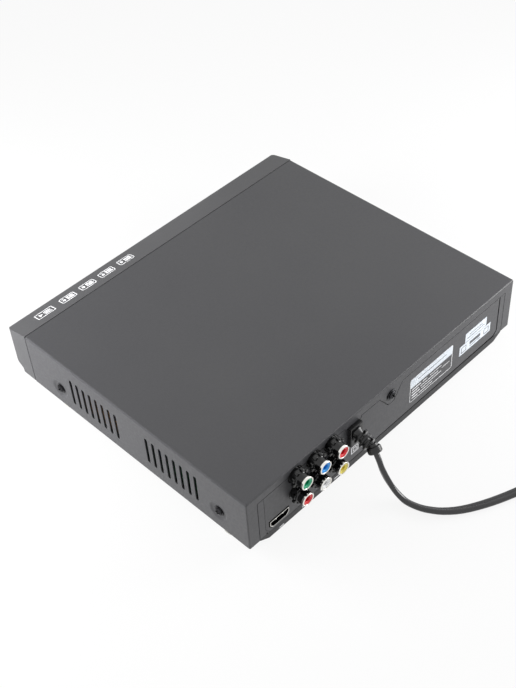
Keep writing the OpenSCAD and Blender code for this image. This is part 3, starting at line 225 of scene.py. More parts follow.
# Acrylic lens with a coating against reflection: clear blue-violet with a sharp point of light
coatedLens = makeFinish("coatedLens", "#5b6fae", 0.04, [
    {"draw": "TexNoise", "mm": 2.5, "tint": "#7a5da8", "gloss": 0.02}],
    {"Transmission Weight": 0.5, "IOR": 1.49, "Coat Weight": 0.6, "Coat Roughness": 0.02})
# Vinyl tube shrunk over the can: dark blue with a pale stripe down one side
shrinkSleeve = makeFinish("shrunkVinylSleeve", "#232b4d", 0.28, [
    {"draw": "TexWave", "mm": 12, "tint": "#aab0bb", "span": (0.93, 0.95)},
    {"draw": "TexNoise", "mm": 2.2, "gloss": 0.07, "relief": 0.008}])
# PBT moulded glossy: deep black that mirrors the white round it in thin streaks
glossyPbt = makeFinish("glossyPbt", "#060607", 0.12, [
    {"draw": "TexNoise", "mm": 3.5, "tint": "#0e0e10", "share": 0.8, "gloss": 0.05},
    {"draw": "TexNoise", "mm": 0.7, "relief": 0.003}])


def jackColour(name, colour, deeper):  # the same PBT, dyed through for one socket
    return makeFinish(name, colour, 0.25, [
        {"draw": "TexNoise", "mm": 2, "tint": deeper, "share": 0.7, "gloss": 0.06},
        {"draw": "TexNoise", "mm": 0.5, "relief": 0.004}])


dyedPbt = {
    "green": jackColour("greenPbt", "#1aad7d", "#12976b"), "blue": jackColour("bluePbt", "#2a9ff0", "#1f8ad9"),
    "red": jackColour("redPbt", "#e32631", "#cb1a25"), "white": jackColour("whitePbt", "#fafafa", "#eeeff0"),
    "yellow": jackColour("yellowPbt", "#fcec74", "#f2de58")}
# Yellow polyester tape wound on ferrite: glossy wraps with soft edges, dark core at the ends
coreTape = makeFinish("woundTape", "#d7b331", 0.34, [
    {"draw": "TexWave", "mm": 2.6, "tint": "#b8931f", "relief": 0.05, "span": (0.75, 1)},
    {"draw": "TexNoise", "mm": 3, "gloss": 0.08}])
# Vinyl drawn round fine wire: brown leads with a soft shine
vinylLead = makeFinish("brownVinylLead", "#472a1a", 0.4, [
    {"draw": "TexNoise", "mm": 2.5, "tint": "#5a3824", "gloss": 0.07}])
# Vinyl ribbon, its wires side by side 1.25 mm apart
ribbonVinyl = makeFinish("greyRibbonVinyl", "#d3d1c8", 0.45, [
    {"draw": "TexWave", "mm": 1.25, "tint": "#aeaca2", "relief": 0.12, "span": (0, 0.6)},
    {"draw": "TexNoise", "mm": 5, "gloss": 0.07}])
# Soft vinyl drawn over the wires: black with a long soft shine down each core, clouded by its softener
blackVinyl = makeFinish("drawnBlackVinyl", "#17171a", 0.26, [
    {"draw": "TexNoise", "mm": 14, "tint": "#202022", "share": 0.8, "gloss": 0.06},
    {"draw": "TexNoise", "mm": 0.7, "relief": 0.008}], {"Coat Weight": 0.35, "Coat Roughness": 0.2})
# The same vinyl moulded to the relief and the plug: a deeper black with a dry skin
mouldedVinyl = makeFinish("mouldedBlackVinyl", "#0b0b0c", 0.3, [
    {"draw": "TexNoise", "mm": 6, "tint": "#151517", "share": 0.8, "gloss": 0.07},
    {"draw": "TexNoise", "mm": 0.5, "relief": 0.01}])
# Brass rolled, stamped and nickel flashed: straw yellow with fine lines along the blade
stampedBrass = makeFinish("stampedBrass", "#cdb67c", 0.24, [
    {"draw": "TexNoise", "mm": 0.5, "stretch": (14, 1, 1), "gloss": 0.1, "relief": 0.003},
    {"draw": "TexNoise", "mm": 5, "tint": "#b89d5f", "share": 0.6}], metal)
# Ink pushed through a screen: flat off-white, a little thin at places
screenInk = makeFinish("screenPrintedInk", "#f6f6f8", 0.6, [
    {"draw": "TexNoise", "mm": 0.9, "tint": "#e2e3e6", "share": 0.6, "relief": 0.004}])
# Polyester film label, matt laminated: cool white
labelFilm = makeFinish("mattLabelFilm", "#dde3ea", 0.42, [
    {"draw": "TexNoise", "mm": 6, "tint": "#d0d7e0", "share": 0.7, "gloss": 0.05},
    {"draw": "TexNoise", "mm": 0.6, "relief": 0.002}])
greyInk = makeFinish("greyLabelInk", "#5c5e63", 0.5, [
    {"draw": "TexNoise", "mm": 0.8, "tint": "#4e5055", "share": 0.8}])
print("finishes mixed")


def joined(*shapes):  # several shapes as one
    whole = shapes[0]
    for shape in shapes[1:]:
        scrap = bpy.data.meshes.new("scrap")
        shape.to_mesh(scrap)
        shape.free()
        whole.from_mesh(scrap)
        bpy.data.meshes.remove(scrap)
    return whole


def moved(shape, placing):
    shape.transform(placing)
    if placing.to_3x3().determinant() < 0:
        bmesh.ops.reverse_faces(shape, faces=shape.faces)
    return shape


def inFinish(shape, number):  # which of its piece's finishes it takes
    for face in shape.faces:
        face.material_index = number
    return shape


def roundedBlock(x0, x1, y0, y1, z0, z1, edge=0.3, steps=2):
    shape = bmesh.new()
    bmesh.ops.create_cube(shape, size=1)
    middle = Vector(((x0 + x1) / 2, (y0 + y1) / 2, (z0 + z1) / 2))
    shape.transform(Matrix.Translation(middle) @ Matrix.Diagonal((x1 - x0, y1 - y0, z1 - z0, 1)))
    bmesh.ops.bevel(shape, geom=shape.edges[:], offset=edge, segments=steps, profile=0.5, affect="EDGES")
    return shape


def bridged(rings, closeRound=False):  # skin over rings of points, ends filled unless it closes round
    shape = bmesh.new()
    loops = [[shape.verts.new(point) for point in ring] for ring in rings]
    pairs = list(zip(loops, loops[1:] + loops[:1] if closeRound else loops[1:]))
    for near, far in pairs:
        for k in range(len(near)):
            shape.faces.new((near[k - 1], near[k], far[k], far[k - 1]))
    if not closeRound:
        shape.faces.new(loops[0][::-1])
        shape.faces.new(loops[-1])
    bmesh.ops.recalc_face_normals(shape, faces=shape.faces)
    return shape


def turned(profile, steps=48, hollow=True):  # (radius, height) pairs turned round z
    return bridged([[(r * cos(2 * pi * k / steps), r * sin(2 * pi * k / steps), z) for k in range(steps)]
                    for r, z in profile], hollow)


def stamped(outlines, thick, edge=0.0):  # flat outlines, holes among them, given a thickness upwards from z = 0
    drawing = bpy.data.curves.new("outline", "CURVE")
    drawing.dimensions, drawing.fill_mode = "2D", "BOTH"
    drawing.extrude, drawing.bevel_depth, drawing.bevel_resolution = thick / 2 - edge, edge, 1
    drawing.offset = -edge
    for outline in outlines:
        spline = drawing.splines.new("POLY")
        spline.points.add(len(outline) - 1)
        for point, (x, y) in zip(spline.points, outline):
            point.co = (x, y, 0, 1)
        spline.use_cyclic_u = True
    holder = bpy.data.objects.new("outline", drawing)
    cut = bpy.data.meshes.new_from_object(holder)
    shape = bmesh.new()
    shape.from_mesh(cut)
    for scrap, shelf in ((holder, bpy.data.objects), (drawing, bpy.data.curves), (cut, bpy.data.meshes)):
        shelf.remove(scrap)
    bmesh.ops.remove_doubles(shape, verts=shape.verts, dist=0.0005)
    bmesh.ops.recalc_face_normals(shape, faces=shape.faces)
    shape.transform(Matrix.Translation((0, 0, thick / 2)))
    return shape


def circle(radius, x=0, y=0, steps=40):
    return [(x + radius * cos(2 * pi * k / steps), y + radius * sin(2 * pi * k / steps)) for k in range(steps)]


def rectangle(x0, x1, y0, y1, corner=0.0):
    if not corner:
        return [(x0, y0), (x1, y0), (x1, y1), (x0, y1)]
    centres = ((x1 - corner, y1 - corner, 0), (x0 + corner, y1 - corner, 90),
               (x0 + corner, y0 + corner, 180), (x1 - corner, y0 + corner, 270))
    return [(x + corner * cos(radians(a + k * 22.5)), y + corner * sin(radians(a + k * 22.5)))
            for x, y, a in centres for k in range(5)]


def lineBox(x0, x1, y0, y1, line, corner=0.0):  # a drawn box: its outline as two outlines
    return [rectangle(x0, x1, y0, y1, corner),
            rectangle(x0 + line, x1 - line, y0 + line, y1 - line, max(corner - line, 0))]


def cutOut(shape, cutter):  # shape with cutter taken away
    bodies = []
    for solid in (shape, cutter):
        data = bpy.data.meshes.new("scrap")
        solid.to_mesh(data)
        solid.free()
        bodies.append(bpy.data.objects.new("scrap", data))
        scene.collection.objects.link(bodies[-1])
    cut = bodies[0].modifiers.new("cut", "BOOLEAN")
    cut.object, cut.operation, cut.solver = bodies[1], "DIFFERENCE", "EXACT"
    result = bpy.data.meshes.new_from_object(bodies[0].evaluated_get(bpy.context.evaluated_depsgraph_get()))
    left = bmesh.new()
    left.from_mesh(result)
    bpy.data.meshes.remove(result)
    for body in bodies:
        data = body.data
        bpy.data.objects.remove(body)
        bpy.data.meshes.remove(data)
    return left


# Points this near are one, faces this flat (degrees) are one, an edge sharper than this (degrees) is eased,
# and in a shape that is cut up it must be longer than so many widths, or it stays sharp
easing = {"weld": 0.002, "flat": 0.5, "sharp": 32, "shortest": 2.5}


def easedEdges(node, width, folds=(), steps=2, cuts=()):  # a node's own shape with eased edges, folds first
    shape = bmesh.new()
    shape.from_mesh(cadParts[node].data)
    shape.transform(toFrame.inverted())
    bmesh.ops.remove_doubles(shape, verts=shape.verts, dist=easing["weld"])
    for spot, across in cuts:  # a cut through each opening keeps the flat faces round it in plain pieces
        cut = bmesh.ops.bisect_plane(shape, geom=shape.verts[:] + shape.edges[:] + shape.faces[:],
                                     plane_co=spot, plane_no=across)
        for part in cut["geom_cut"]:
            if isinstance(part, bmesh.types.BMEdge):
                part.seam = True
    bmesh.ops.dissolve_limit(shape, angle_limit=radians(easing["flat"]), verts=shape.verts, edges=shape.edges,
                             delimit={"SEAM"})
    for isFold, foldWidth, foldSteps in (*folds, (None, width, steps)):
        sharp = [e for e in shape.edges
                 if len(e.link_faces) == 2 and e.calc_face_angle() > radians(easing["sharp"])
                 and (not cuts or e.calc_length() > easing["shortest"] * foldWidth)
                 and (isFold is None or isFold((e.verts[0].co + e.verts[1].co) / 2))]
        bmesh.ops.bevel(shape, geom=sharp, offset=foldWidth, segments=foldSteps, profile=0.5, affect="EDGES",
                        clamp_overlap=False)
    return shape


def makePiece(name, shape, finishes, body="casing", standsFor=(), sharpAbove=50):
    shape.transform(toFrame)
    data = bpy.data.meshes.new(name)
    shape.to_mesh(data)
    shape.free()
    for finish in finishes:
        data.materials.append(finish)
    data.shade_smooth()
    data.set_sharp_from_angle(angle=radians(sharpAbove))
    piece = bpy.data.objects.new(name, data)
    scene.collection.objects.link(piece)
    evened = piece.modifiers.new("evenShading", "WEIGHTED_NORMAL")
    evened.keep_sharp = True
    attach(piece, body)
    if standsFor:
        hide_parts(*standsFor)
    return piece


# Mains cord: along its route, then wound up behind the player
cord = {
    "boot": 17, "bootLength": 11.4,  # the relief slopes down by so many degrees and is this long
    "collar": 48, "collarTurn": 12, "collarLength": 4.4,  # its collar, bent further down and to the right
    "core": 1.6, "cores": 1.0,  # two cores side by side, each 3.2 mm round
    "turned": 62, "flat": 100,  # the cord leaves turned this far and lies flat this far along
    "route": [(32, 201.1, 15.5), (32.3, 202.9, 12.1), (32.2, 204.7, 8.6), (31.9, 206.6, 5.2),
              (31.5, 208.8, 1.9), (31.2, 211.4, -0.9), (31, 214.6, -3.1), (30.8, 218.2, -4.6),
              (30.4, 222.1, -5.3), (29.2, 226.8, -5.6), (27, 231.6, -5.6), (22.5, 238, -5.6),
              (14.7, 244.9, -5.6), (3.5, 251.4, -5.6), (-8, 256.6, -5.6), (-21, 261.4, -5.6),
              (-34, 265.4, -5.6), (-48, 268.8, -5.6)],
    "coil": (-62, 303.8), "outer": 33.8, "inner": 28.6, "rows": (-5.6, -2.4, 0.8, 4.0),
    "coilStep": 15,  # degrees from point to point along the coil
    "tail": [(-67.4, 269.2, 4.1), (-77.2, 268, 3.6), (-86.6, 266.9, 2), (-94, 266.5, 0.5), (-98, 266, 0.4)],
    "length": 1.17}
outer, inner, rows = cord["outer"], cord["inner"], cord["rows"]
# Each turn starts in its place and then shifts: (from angle, to angle, new radius, new height)
turns = [(outer, rows[0], [(250, 335, inner, rows[0])]),
         (inner, rows[0], [(205, 250, inner, rows[1])]),
         (inner, rows[1], [(125, 205, outer, rows[1])]),
         (outer, rows[1], [(80, 125, outer, rows[2])]),
         (outer, rows[2], [(5, 80, inner, rows[2]), (210, 265, inner, rows[3]), (265, 350, outer, rows[3])])]


def coilPoints():
    points, step = [], cord["coilStep"]
    for number, (radius, height, shifts) in enumerate(turns):
        stopsEarly = number == len(turns) - 1  # the last turn, where the tail goes on
        for k in range(360 // step - stopsEarly):
            angle, r, z = step * k, radius, height
            for begin, end, newRadius, newHeight in shifts:
                share = min(max((angle - begin) / (end - begin), 0), 1)
                share = share * share * (3 - 2 * share)
                r, z = r + (newRadius - r) * share, z + (newHeight - z) * share
            heading = radians(-90 - angle)
            points.append((cord["coil"][0] + r * cos(heading), cord["coil"][1] + r * sin(heading), z))
    return points


def smoothLine(points, steps):
    points = [Vector(p) for p in points]
    gaps = [(b - a).length for a, b in zip(points, points[1:])]
    leans = [(points[min(i + 1, len(points) - 1)] - points[max(i - 1, 0)])
             / sum(gaps[max(i - 1, 0):i + 1]) for i in range(len(points))]
    line = []
    for i, gap in enumerate(gaps):
        line += interpolate_bezier(points[i], points[i] + leans[i] * gap / 3,
                                   points[i + 1] - leans[i + 1] * gap / 3, points[i + 1], steps + 1)[:-1]
    return line + [points[-1]]


def drawnCord(line):  # both cores side by side, nearly on edge at the relief and slowly turning flat
    across = [(cord["cores"] + cord["core"] * cos(radians(a)), cord["core"] * sin(radians(a)))
              for a in range(-126, 127, 18)]
    section = across + [(-x, -z) for x, z in across]
    rings, along = [], 0.0
    for i, point in enumerate(line):
        ahead = (line[min(i + 1, len(line) - 1)] - line[max(i - 1, 0)]).normalized()
        side = ahead.cross(Vector((0, 0, 1))).normalized()
        up = side.cross(ahead)
        along += (point - line[max(i - 1, 0)]).length
        share = min(along / cord["flat"], 1)
        twist = radians(cord["turned"] * (1 - share * share * (3 - 2 * share)))
        right, top = side * cos(twist) + up * sin(twist), up * cos(twist) - side * sin(twist)
        # kept off the floor
        lift = Vector((0, 0, max(cord["rows"][0] + cord["cores"] * sin(twist) - point.z, 0)))
        rings.append([point + lift + right * x + top * z for x, z in section])
    return bridged(rings)


def outOfBack(slope, turn=0):  # turns z to point out of the back, so far below level and so far to the right
    return Matrix.Rotation(radians(-turn), 4, "Z") @ Matrix.Rotation(radians(-90 - slope), 4, "X")


reliefSeat = Vector((31, 185.6, 24.4))
alongBoot, alongCollar = outOfBack(cord["boot"]), outOfBack(cord["collar"], cord["collarTurn"])
leaving = alongCollar @ Vector((0, 0, 1))
collarMiddle = reliefSeat + alongBoot @ Vector((0, 0, cord["bootLength"]))
cordStart = collarMiddle + (cord["collarLength"] / 2 + 0.05) * leaving
cordLine = smoothLine([cordStart, cordStart + 1.5 * leaving, *cord["route"], *coilPoints(), *cord["tail"]], 3)
cordLength = sum((b - a).length for a, b in zip(cordLine, cordLine[1:])) / 1000
print("cord drawn, metres:", round(cordLength, 3))
mainsFlex = makePiece("mainsFlex", drawnCord(cordLine), [blackVinyl],
                      standsFor=("mains_cord", "cord_coil"), sharpAbove=75)

# Plug on the cord's end
plug = {"place": (-98, 266, 0.4), "turn": 187, "bladeGap": 6.35, "blade": (38.05, 54, 3.2, 1.5),
        "neck": 4.0, "groove": 3.3, "grooves": 4, "groovePitch": 2.1}
atPlug = Matrix.Translation(plug["place"]) @ Matrix.Rotation(radians(plug["turn"]), 4, "Z")


def plugBody():
    # along, half width, half height, squareness
    stations = [(10.6, 3.9, 3.8, 2), (12, 5.4, 4.6, 2.2), (14, 8.6, 6.2, 2.6), (16.5, 10.3, 7.0, 3),
                (20, 10.6, 7.2, 3.4), (24, 9.7, 6.9, 3.4), (28, 9.7, 6.9, 3.6), (32, 10.7, 7.2, 4.2),
                (35.5, 11, 7.3, 5), (37.4, 11, 7.3, 5), (38, 10.4, 6.8, 5)]

    def station(x, wide, high, square):
        ring = []
        for k in range(40):
            c, s = cos(2 * pi * k / 40), sin(2 * pi * k / 40)
            ring.append((x, wide * abs(c) ** (2 / square) * (1 if c > 0 else -1),
                         -0.1 + high * abs(s) ** (2 / square) * (1 if s > 0 else -1)))
        return ring

    body = bridged([station(*s) for s in stations])
    # neck with grooves that let the cord bend
    wide, narrow = plug["neck"], plug["groove"]
    neck = [(3.5, 0.1), (3.9, 0.5), (wide, 1.6)]
    for k in range(plug["grooves"]):
        x = plug["groovePitch"] * k
        neck += [(wide, 2.2 + x), (narrow, 2.5 + x), (narrow, 3.4 + x), (wide, 3.7 + x)]
    alongPlug = Matrix.Rotation(radians(90), 4, "Y")
    flexNeck = moved(turned(neck + [(wide, 12)], 32, hollow=False), alongPlug)
    # raised finger grips on both flat sides
    grips = [roundedBlock(x, x + 1.1, -6.4, 6.4, z - 0.5, z + 0.5, 0.35)
             for x in (22, 24.2, 26.4, 28.6) for z in (6.8, -7.0)]
    face = roundedBlock(37.2, 38.0, -8.6, 8.6, -4.9, 4.7, 0.25)
    return joined(body, flexNeck, face, *grips)


def plugBlades():
    start, end, high, thick = plug["blade"]
    outline = [(start, -high), (end - 2.2, -high), (end - 0.7, -high + 0.8), (end, -high + 2.4),
               (end, high - 2.4), (end - 0.7, high - 0.8), (end - 2.2, high), (start, high)]
    blades = []
    for y in (-plug["bladeGap"], plug["bladeGap"]):
        blade = stamped([outline, circle(1.6, end - 3.7, 0, 24)], thick, 0.3)
        blades.append(moved(blade, Matrix.Translation((0, y + thick / 2, 0)) @ ontoFront))
    return joined(*blades)


plugMoulding = makePiece("plugMoulding", moved(plugBody(), atPlug), [mouldedVinyl],
                         standsFor=("mains_plug",))
bladePair = makePiece("plugBladePair", moved(plugBlades(), atPlug), [stampedBrass],
                      standsFor=("plug_blades",))

# Strain relief where the cord leaves the back
relief = {"x": (26, 36), "z": (16.5, 30.6), "back": 181.65, "face": 184.5, "ribs": 3, "pitch": 2.8, "rib": 1.5}


def ribArc(rOut, rIn, low, high, begin, sweep):  # part of a ring round the relief
    section = [(rIn, low), (rOut - 0.3, low), (rOut, low + 0.3), (rOut, high - 0.3), (rOut - 0.3, high),
               (rIn, high)]
    angles = [radians(begin + sweep * k / 16) for k in range(17)]
    return bridged([[(r * cos(a), r * sin(a), z) for r, z in section] for a in angles])


def reliefShape():
    (left, right), (low, high) = relief["x"], relief["z"]
    plate = roundedBlock(left, right, relief["back"], relief["face"], low, high, 0.6, 3)
    through = roundedBlock(left + 1, right - 1, 179, relief["back"] + 0.3, 17, 29, 0.3)
    inside = roundedBlock(left - 0.4, right + 0.4, 175.4, 179.9, 16, 30, 0.5)
    core = turned([(3.9, -2), (3.1, 0.2), (2.7, 6), (2.5, 12.2)], 40, hollow=False)
    ribs = []
    for k in range(relief["ribs"]):
        begin, reach = 0.9 + relief["pitch"] * k, 4.9 - 0.25 * k
        quarter = 90 * (k % 2)
        for side in (quarter, quarter + 180):  # half rings face to face, each level a quarter turn on
            ribs.append(ribArc(reach, 2.4, begin, begin + relief["rib"], side - 68, 136))
            ribs.append(ribArc(reach - 1.2, 2.4, begin + 1, begin + relief["pitch"] + 0.2, side + 78, 24))
    half = cord["collarLength"] / 2
    collar = turned([(2.5, -half - 1), (3.0, -half + 0.3), (3.9, -half + 0.7), (4.15, -half + 1.3),
                     (4.15, half - 0.6), (3.8, half - 0.1), (3.1, half), (2.2, half - 0.2)], 12, hollow=False)
    return joined(plate, through, inside, moved(joined(core, *ribs), Matrix.Translation(reliefSeat) @ alongBoot),
                  moved(collar, Matrix.Translation(collarMiddle) @ alongCollar))


makePiece("ribbedRelief", reliefShape(), [mouldedVinyl], standsFor=("strain_relief",),
          sharpAbove=34)
print("cord, relief and plug laid")

shells = {"backY": 181.6, "topZ": 37.1, "halfWidth": 112.5, "fold": 0.85, "edge": 0.07, "frontEdge": 0.14,
          "band": 0.5, "bandTop": 0.9,  # the chassis band's height, and where the uprights' paint begins
          "ledge": 15, "ledgeReach": 0.45, "ledgeEdge": 0.06,
          # where the front is cut across at each opening, and along all of them
          "cutsAt": (-107.2, -35, 36, 45.85, 59.85, 73.85, 88.5, 103.2, 107.8), "cutLevel": 23.3}


def backFold(spot):  # the cover's outer edge where it turns down at the back
    up, out, top, side = spot.z, abs(spot.x), shells["topZ"], shells["halfWidth"]
    return (spot.y > shells["backY"] - 0.05 and (up > top - 1.5 or out > side - 0.3)
            and (up > top - 0.3 or out > side - 1.5))


def frontLedge(spot):  # the low ledge under the tray opening, too narrow for a wide round edge
    return abs(spot.z - shells["ledge"]) < shells["ledgeReach"]


makePiece("paintedCover", easedEdges("top_cover", shells["edge"], [(backFold, shells["fold"], 4)]), [bakedPaint],
          standsFor=("top_cover",))
chassis = easedEdges("chassis_pan", shells["edge"])
# Cut where the finish changes, so that no face takes both
bmesh.ops.bisect_plane(chassis, geom=chassis.verts[:] + chassis.edges[:] + chassis.faces[:],
                       plane_co=(0, 0, shells["bandTop"]), plane_no=(0, 0, 1))
for face in chassis.faces:  # painted shade: black on the band's top edge under the back panel, so the gap above it reads dark; full paint on the uprights beside it
    spot = face.calc_center_median()
    if spot.y > shells["backY"] - 1.2 and abs(spot.z - shells["band"]) < 0.3 and face.normal.z > 0.5:
        face.material_index = 1
    elif spot.y > shells["backY"] - 3 and spot.z > shells["bandTop"]:
        face.material_index = 2
makePiece("chassisTray", chassis, [shadedChassisPaint, gapShadeBlack, bakedPaint], standsFor=("chassis_pan",))
connectorPlate = easedEdges("rear_panel", shells["edge"])
for face in connectorPlate.faces:  # its edge faces painted black as painted shade, so that every gap and opening round it is dark
    if abs(face.normal.y) < 0.3:
        face.material_index = 1
makePiece("connectorPlate", connectorPlate, [bakedPaint, gapShadeBlack], standsFor=("rear_panel",))
frontCuts = [*(((x, 0, 0), (1, 0, 0)) for x in shells["cutsAt"]), ((0, 0, shells["cutLevel"]), (0, 0, 1))]
front = easedEdges("front_panel", shells["frontEdge"], [(frontLedge, shells["ledgeEdge"], 3)], cuts=frontCuts)
makePiece("mouldedFront", front, [grainedAbs], standsFor=("front_panel",))
makePiece("smokedWindow", easedEdges("display_window", 0.2), [smokedAcrylic],
          standsFor=("display_window",))
makePiece("rubberFeet", easedEdges("feet", 0.6, steps=3), [paleRubber], standsFor=("feet",))
makePiece("trayDoor", easedEdges("tray_door", 0.3), [grainedAbs], "tray", ("tray_door",))
makePiece("discTray", easedEdges("disc_tray", 0.3), [blackStyrene], "tray", ("disc_tray",))
for key in ("power", "open", "play", "stop"):
    makePiece(key + "Button", easedEdges(key + "_button", 0.3, steps=3), [satinAbs],
              key + "_key", (key + "_button",))
print("shells folded and moulded")

# Six round jacks, three across and two up
jacks = {"x": 76.7, "z": 15.9, "pitch": 14, "row": 13.5, "face": 190.8, "shell": 4.15, "bore": 1.6,
         "collar": (183.7, 2.1, 4.55, 6.15), "colours": {(0, 1): "green", (1, 1): "blue", (2, 1): "red",
                                                          (0, 0): "red", (1, 0): "white", (2, 0): "yellow"}}
jackSpots = {place: (jacks["x"] - place[0] * jacks["pitch"], jacks["z"] + place[1] * jacks["row"])
             for place in jacks["colours"]}


def onJack(spot, y=0.0):  # turned round z, then laid along y at one jack
    return Matrix.Translation((spot[0], y, spot[1])) @ ontoBack


def toothedCollar(spot):
    y, thick, low, high = jacks["collar"]
    outline = []
    for tooth in range(8):  # each tooth a broad rounded lobe, each gap a narrow notch
        for turn, r in ((-13, low), (-12.5, high - 0.6), (-9, high - 0.15), (0, high), (9, high - 0.15),
                        (12.5, high - 0.6), (13, low), (22.5, low - 0.1)):
            a = radians(22.5 + 45 * tooth + turn)
            outline.append((r * cos(a), r * sin(a)))
    collar = stamped([outline, circle(4.0)], thick, 0.3)
    neck = turned([(3.95, 180.5), (4.5, 180.5), (4.5, 185.9), (4.3, 186.1), (3.95, 186.1)])
    sleeve = turned([(3.9, 185.0), (4.55, 185.0), (4.6, 185.6), (4.3, 186.2), (4.12, 186.5), (4.12, 189.5),
                     (3.9, 189.5)])
    return joined(moved(collar, onJack(spot, y)), moved(joined(neck, sleeve), onJack(spot)))


def jackRing(spot):
    face, r = jacks["face"], jacks["shell"]
    ring = turned([(3.3, 183), (3.3, face - 0.25), (3.45, face - 0.04), (3.62, face), (r - 0.28, face),
                   (r - 0.08, face - 0.1), (r, face - 0.35), (r, face - 1.35), (3.95, face - 1.5), (3.95, 183)])
    return moved(ring, onJack(spot))


def jackInsert(spot):
    face, bore = jacks["face"] - 0.3, jacks["bore"]
    disc = turned([(bore, 178), (bore, face - 0.9), (bore + 0.25, face - 0.35), (2.5, face - 0.15), (3.0, face),
                   (3.25, face - 0.05), (3.25, 171.6), (bore, 171.6)])
    return moved(disc, onJack(spot))


def jackBody():
    x0, x1 = jacks["x"] - 2 * jacks["pitch"] - 6.6, jacks["x"] + 5.9
    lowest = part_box("jack_block")[0].z * 1000 - 7.2  # the frame's height as a drawn one
    holes = joined(*[moved(turned([(3.95, 160), (3.95, 190)], 32, hollow=False), onJack(spot))
                     for spot in jackSpots.values()])
    block = cutOut(roundedBlock(x0, x1, 167, 179.97, lowest, jacks["z"] + jacks["row"] + 6, 0.5), holes)
    bosses = [moved(turned([(3.95, 179), (5.15, 179), (5.15, 181.5), (3.95, 181.5)]), onJack(spot))
              for spot in jackSpots.values()]
    return joined(block, *bosses, *[toothedCollar(spot) for spot in jackSpots.values()])


makePiece("jackHousing", jackBody(), [glossyPbt], standsFor=("jack_block",))
makePiece("jackRings", joined(*[jackRing(spot) for spot in jackSpots.values()]), [nickelPlate],
          standsFor=("jack_shells",))
for colour in ("green", "blue", "red", "white", "yellow"):
    spots = [jackSpots[place] for place, named in jacks["colours"].items() if named == colour]
    makePiece(colour + "Insert", joined(*[jackInsert(spot) for spot in spots]), [dyedPbt[colour]],
              standsFor=("insert_" + colour,))
print("jacks set")

# Digital picture socket on the back, memory stick socket on the front
digital = {"x": 90.1, "z": 5.8, "tabs": (-2.6, 2.6)}
tabs = [roundedBlock(digital["x"] + x - 0.45, digital["x"] + x + 0.45, 178, 182, digital["z"] + 1.3,
                     digital["z"] + 2.18, 0.12) for x in digital["tabs"]]
digitalShell = easedEdges("hdmi_socket", 0.08)
for face in digitalShell.faces:  # painted shade: the mouth's inner walls take black plastic, so it is dark inside and only its rim and outside shine
    spot, outwards = face.calc_center_median(), face.normal
    if outwards.x * (spot.x - digital["x"]) + outwards.z * (spot.z - digital["z"]) < -0.2:
        face.material_index = 1
makePiece("digitalShell", joined(digitalShell, *tabs), [nickelPlate, glossyPbt],
          standsFor=("hdmi_socket",))
makePiece("digitalTongue", easedEdges("hdmi_tongue", 0.12), [glossyPbt],
          standsFor=("hdmi_tongue",))
makePiece("usbShell", easedEdges("usb_socket", 0.1), [nickelPlate], standsFor=("usb_socket",))
makePiece("usbTongue", easedEdges("usb_tongue", 0.12), [naturalNylon], standsFor=("usb_tongue",))

screws = {"sides": ((26.5, 12.0), (159.0, 12.6)), "dimple": 1.0, "tab": (-0.6, 27.8)}


def panScrew(r, shank, shankLength):  # r is the head's radius
    body = turned([(0.02, -shankLength), (shank, -shankLength), (shank, 0), (r - 0.1, 0), (r, 0.12), (r, 0.55),
                   (r - 0.12, 0.68), (r - 0.62, 0.68), (r - 0.72, 0.42), (r - 0.82, 0.42), (r - 0.86, 1.05),
                   (r * 0.62, 1.5), (r * 0.42, 1.74), (0.02, 1.82)], 40, hollow=False)
    arm = r * 0.52
    cross = [roundedBlock(-arm, arm, -0.42, 0.42, 0.6, 3, 0.08),
             roundedBlock(-0.42, 0.42, -arm, arm, 0.6, 3, 0.08)]
    for cutter in cross:
        body = cutOut(body, cutter)
    return body


allScrews = []
for y, z in screws["sides"]:
    for side in (1, -1):
        place = Matrix.Translation((side * (shells["halfWidth"] - screws["dimple"] + 0.05), y, z))
        allScrews.append(moved(panScrew(3.2, 1.35, 2.6), place @ Matrix.Rotation(side * pi / 2, 4, "Y")
                               @ Matrix.Rotation(radians(20 + y), 4, "Z")))
allScrews.append(moved(panScrew(3.5, 1.35, 5), Matrix.Translation((screws["tab"][0], 181.65, screws["tab"][1]))
                       @ Matrix.Rotation(-pi / 2, 4, "X") @ Matrix.Rotation(radians(35), 4, "Z")))
makePiece("coverScrews", joined(*allScrews), [blackOxide], standsFor=("cover_screws",),
          sharpAbove=40)
print("sockets and screws in")

prints = {"ink": 0.05, "line": 0.55, "stripSlope": 12.66, "stripAt": (-17.3, 33.2),
          "boxes": (84.0, 67.3, 52.0, 36.8, 21.5), "boxWide": 11.3, "firstWide": 13,
          "belly": ((86.8, 90.4, -3.6, -2.6), (71.4, 72.6, -3.2, -2.1), (56.7, 57.9, -2.6, -1.3),
                    (42.3, 46.9, -2.8, -2.1)),
          "keySigns": (-18.6, 10.1)}  # on the front's face, this far up


def ink(outlines):
    return stamped(outlines, prints["ink"])


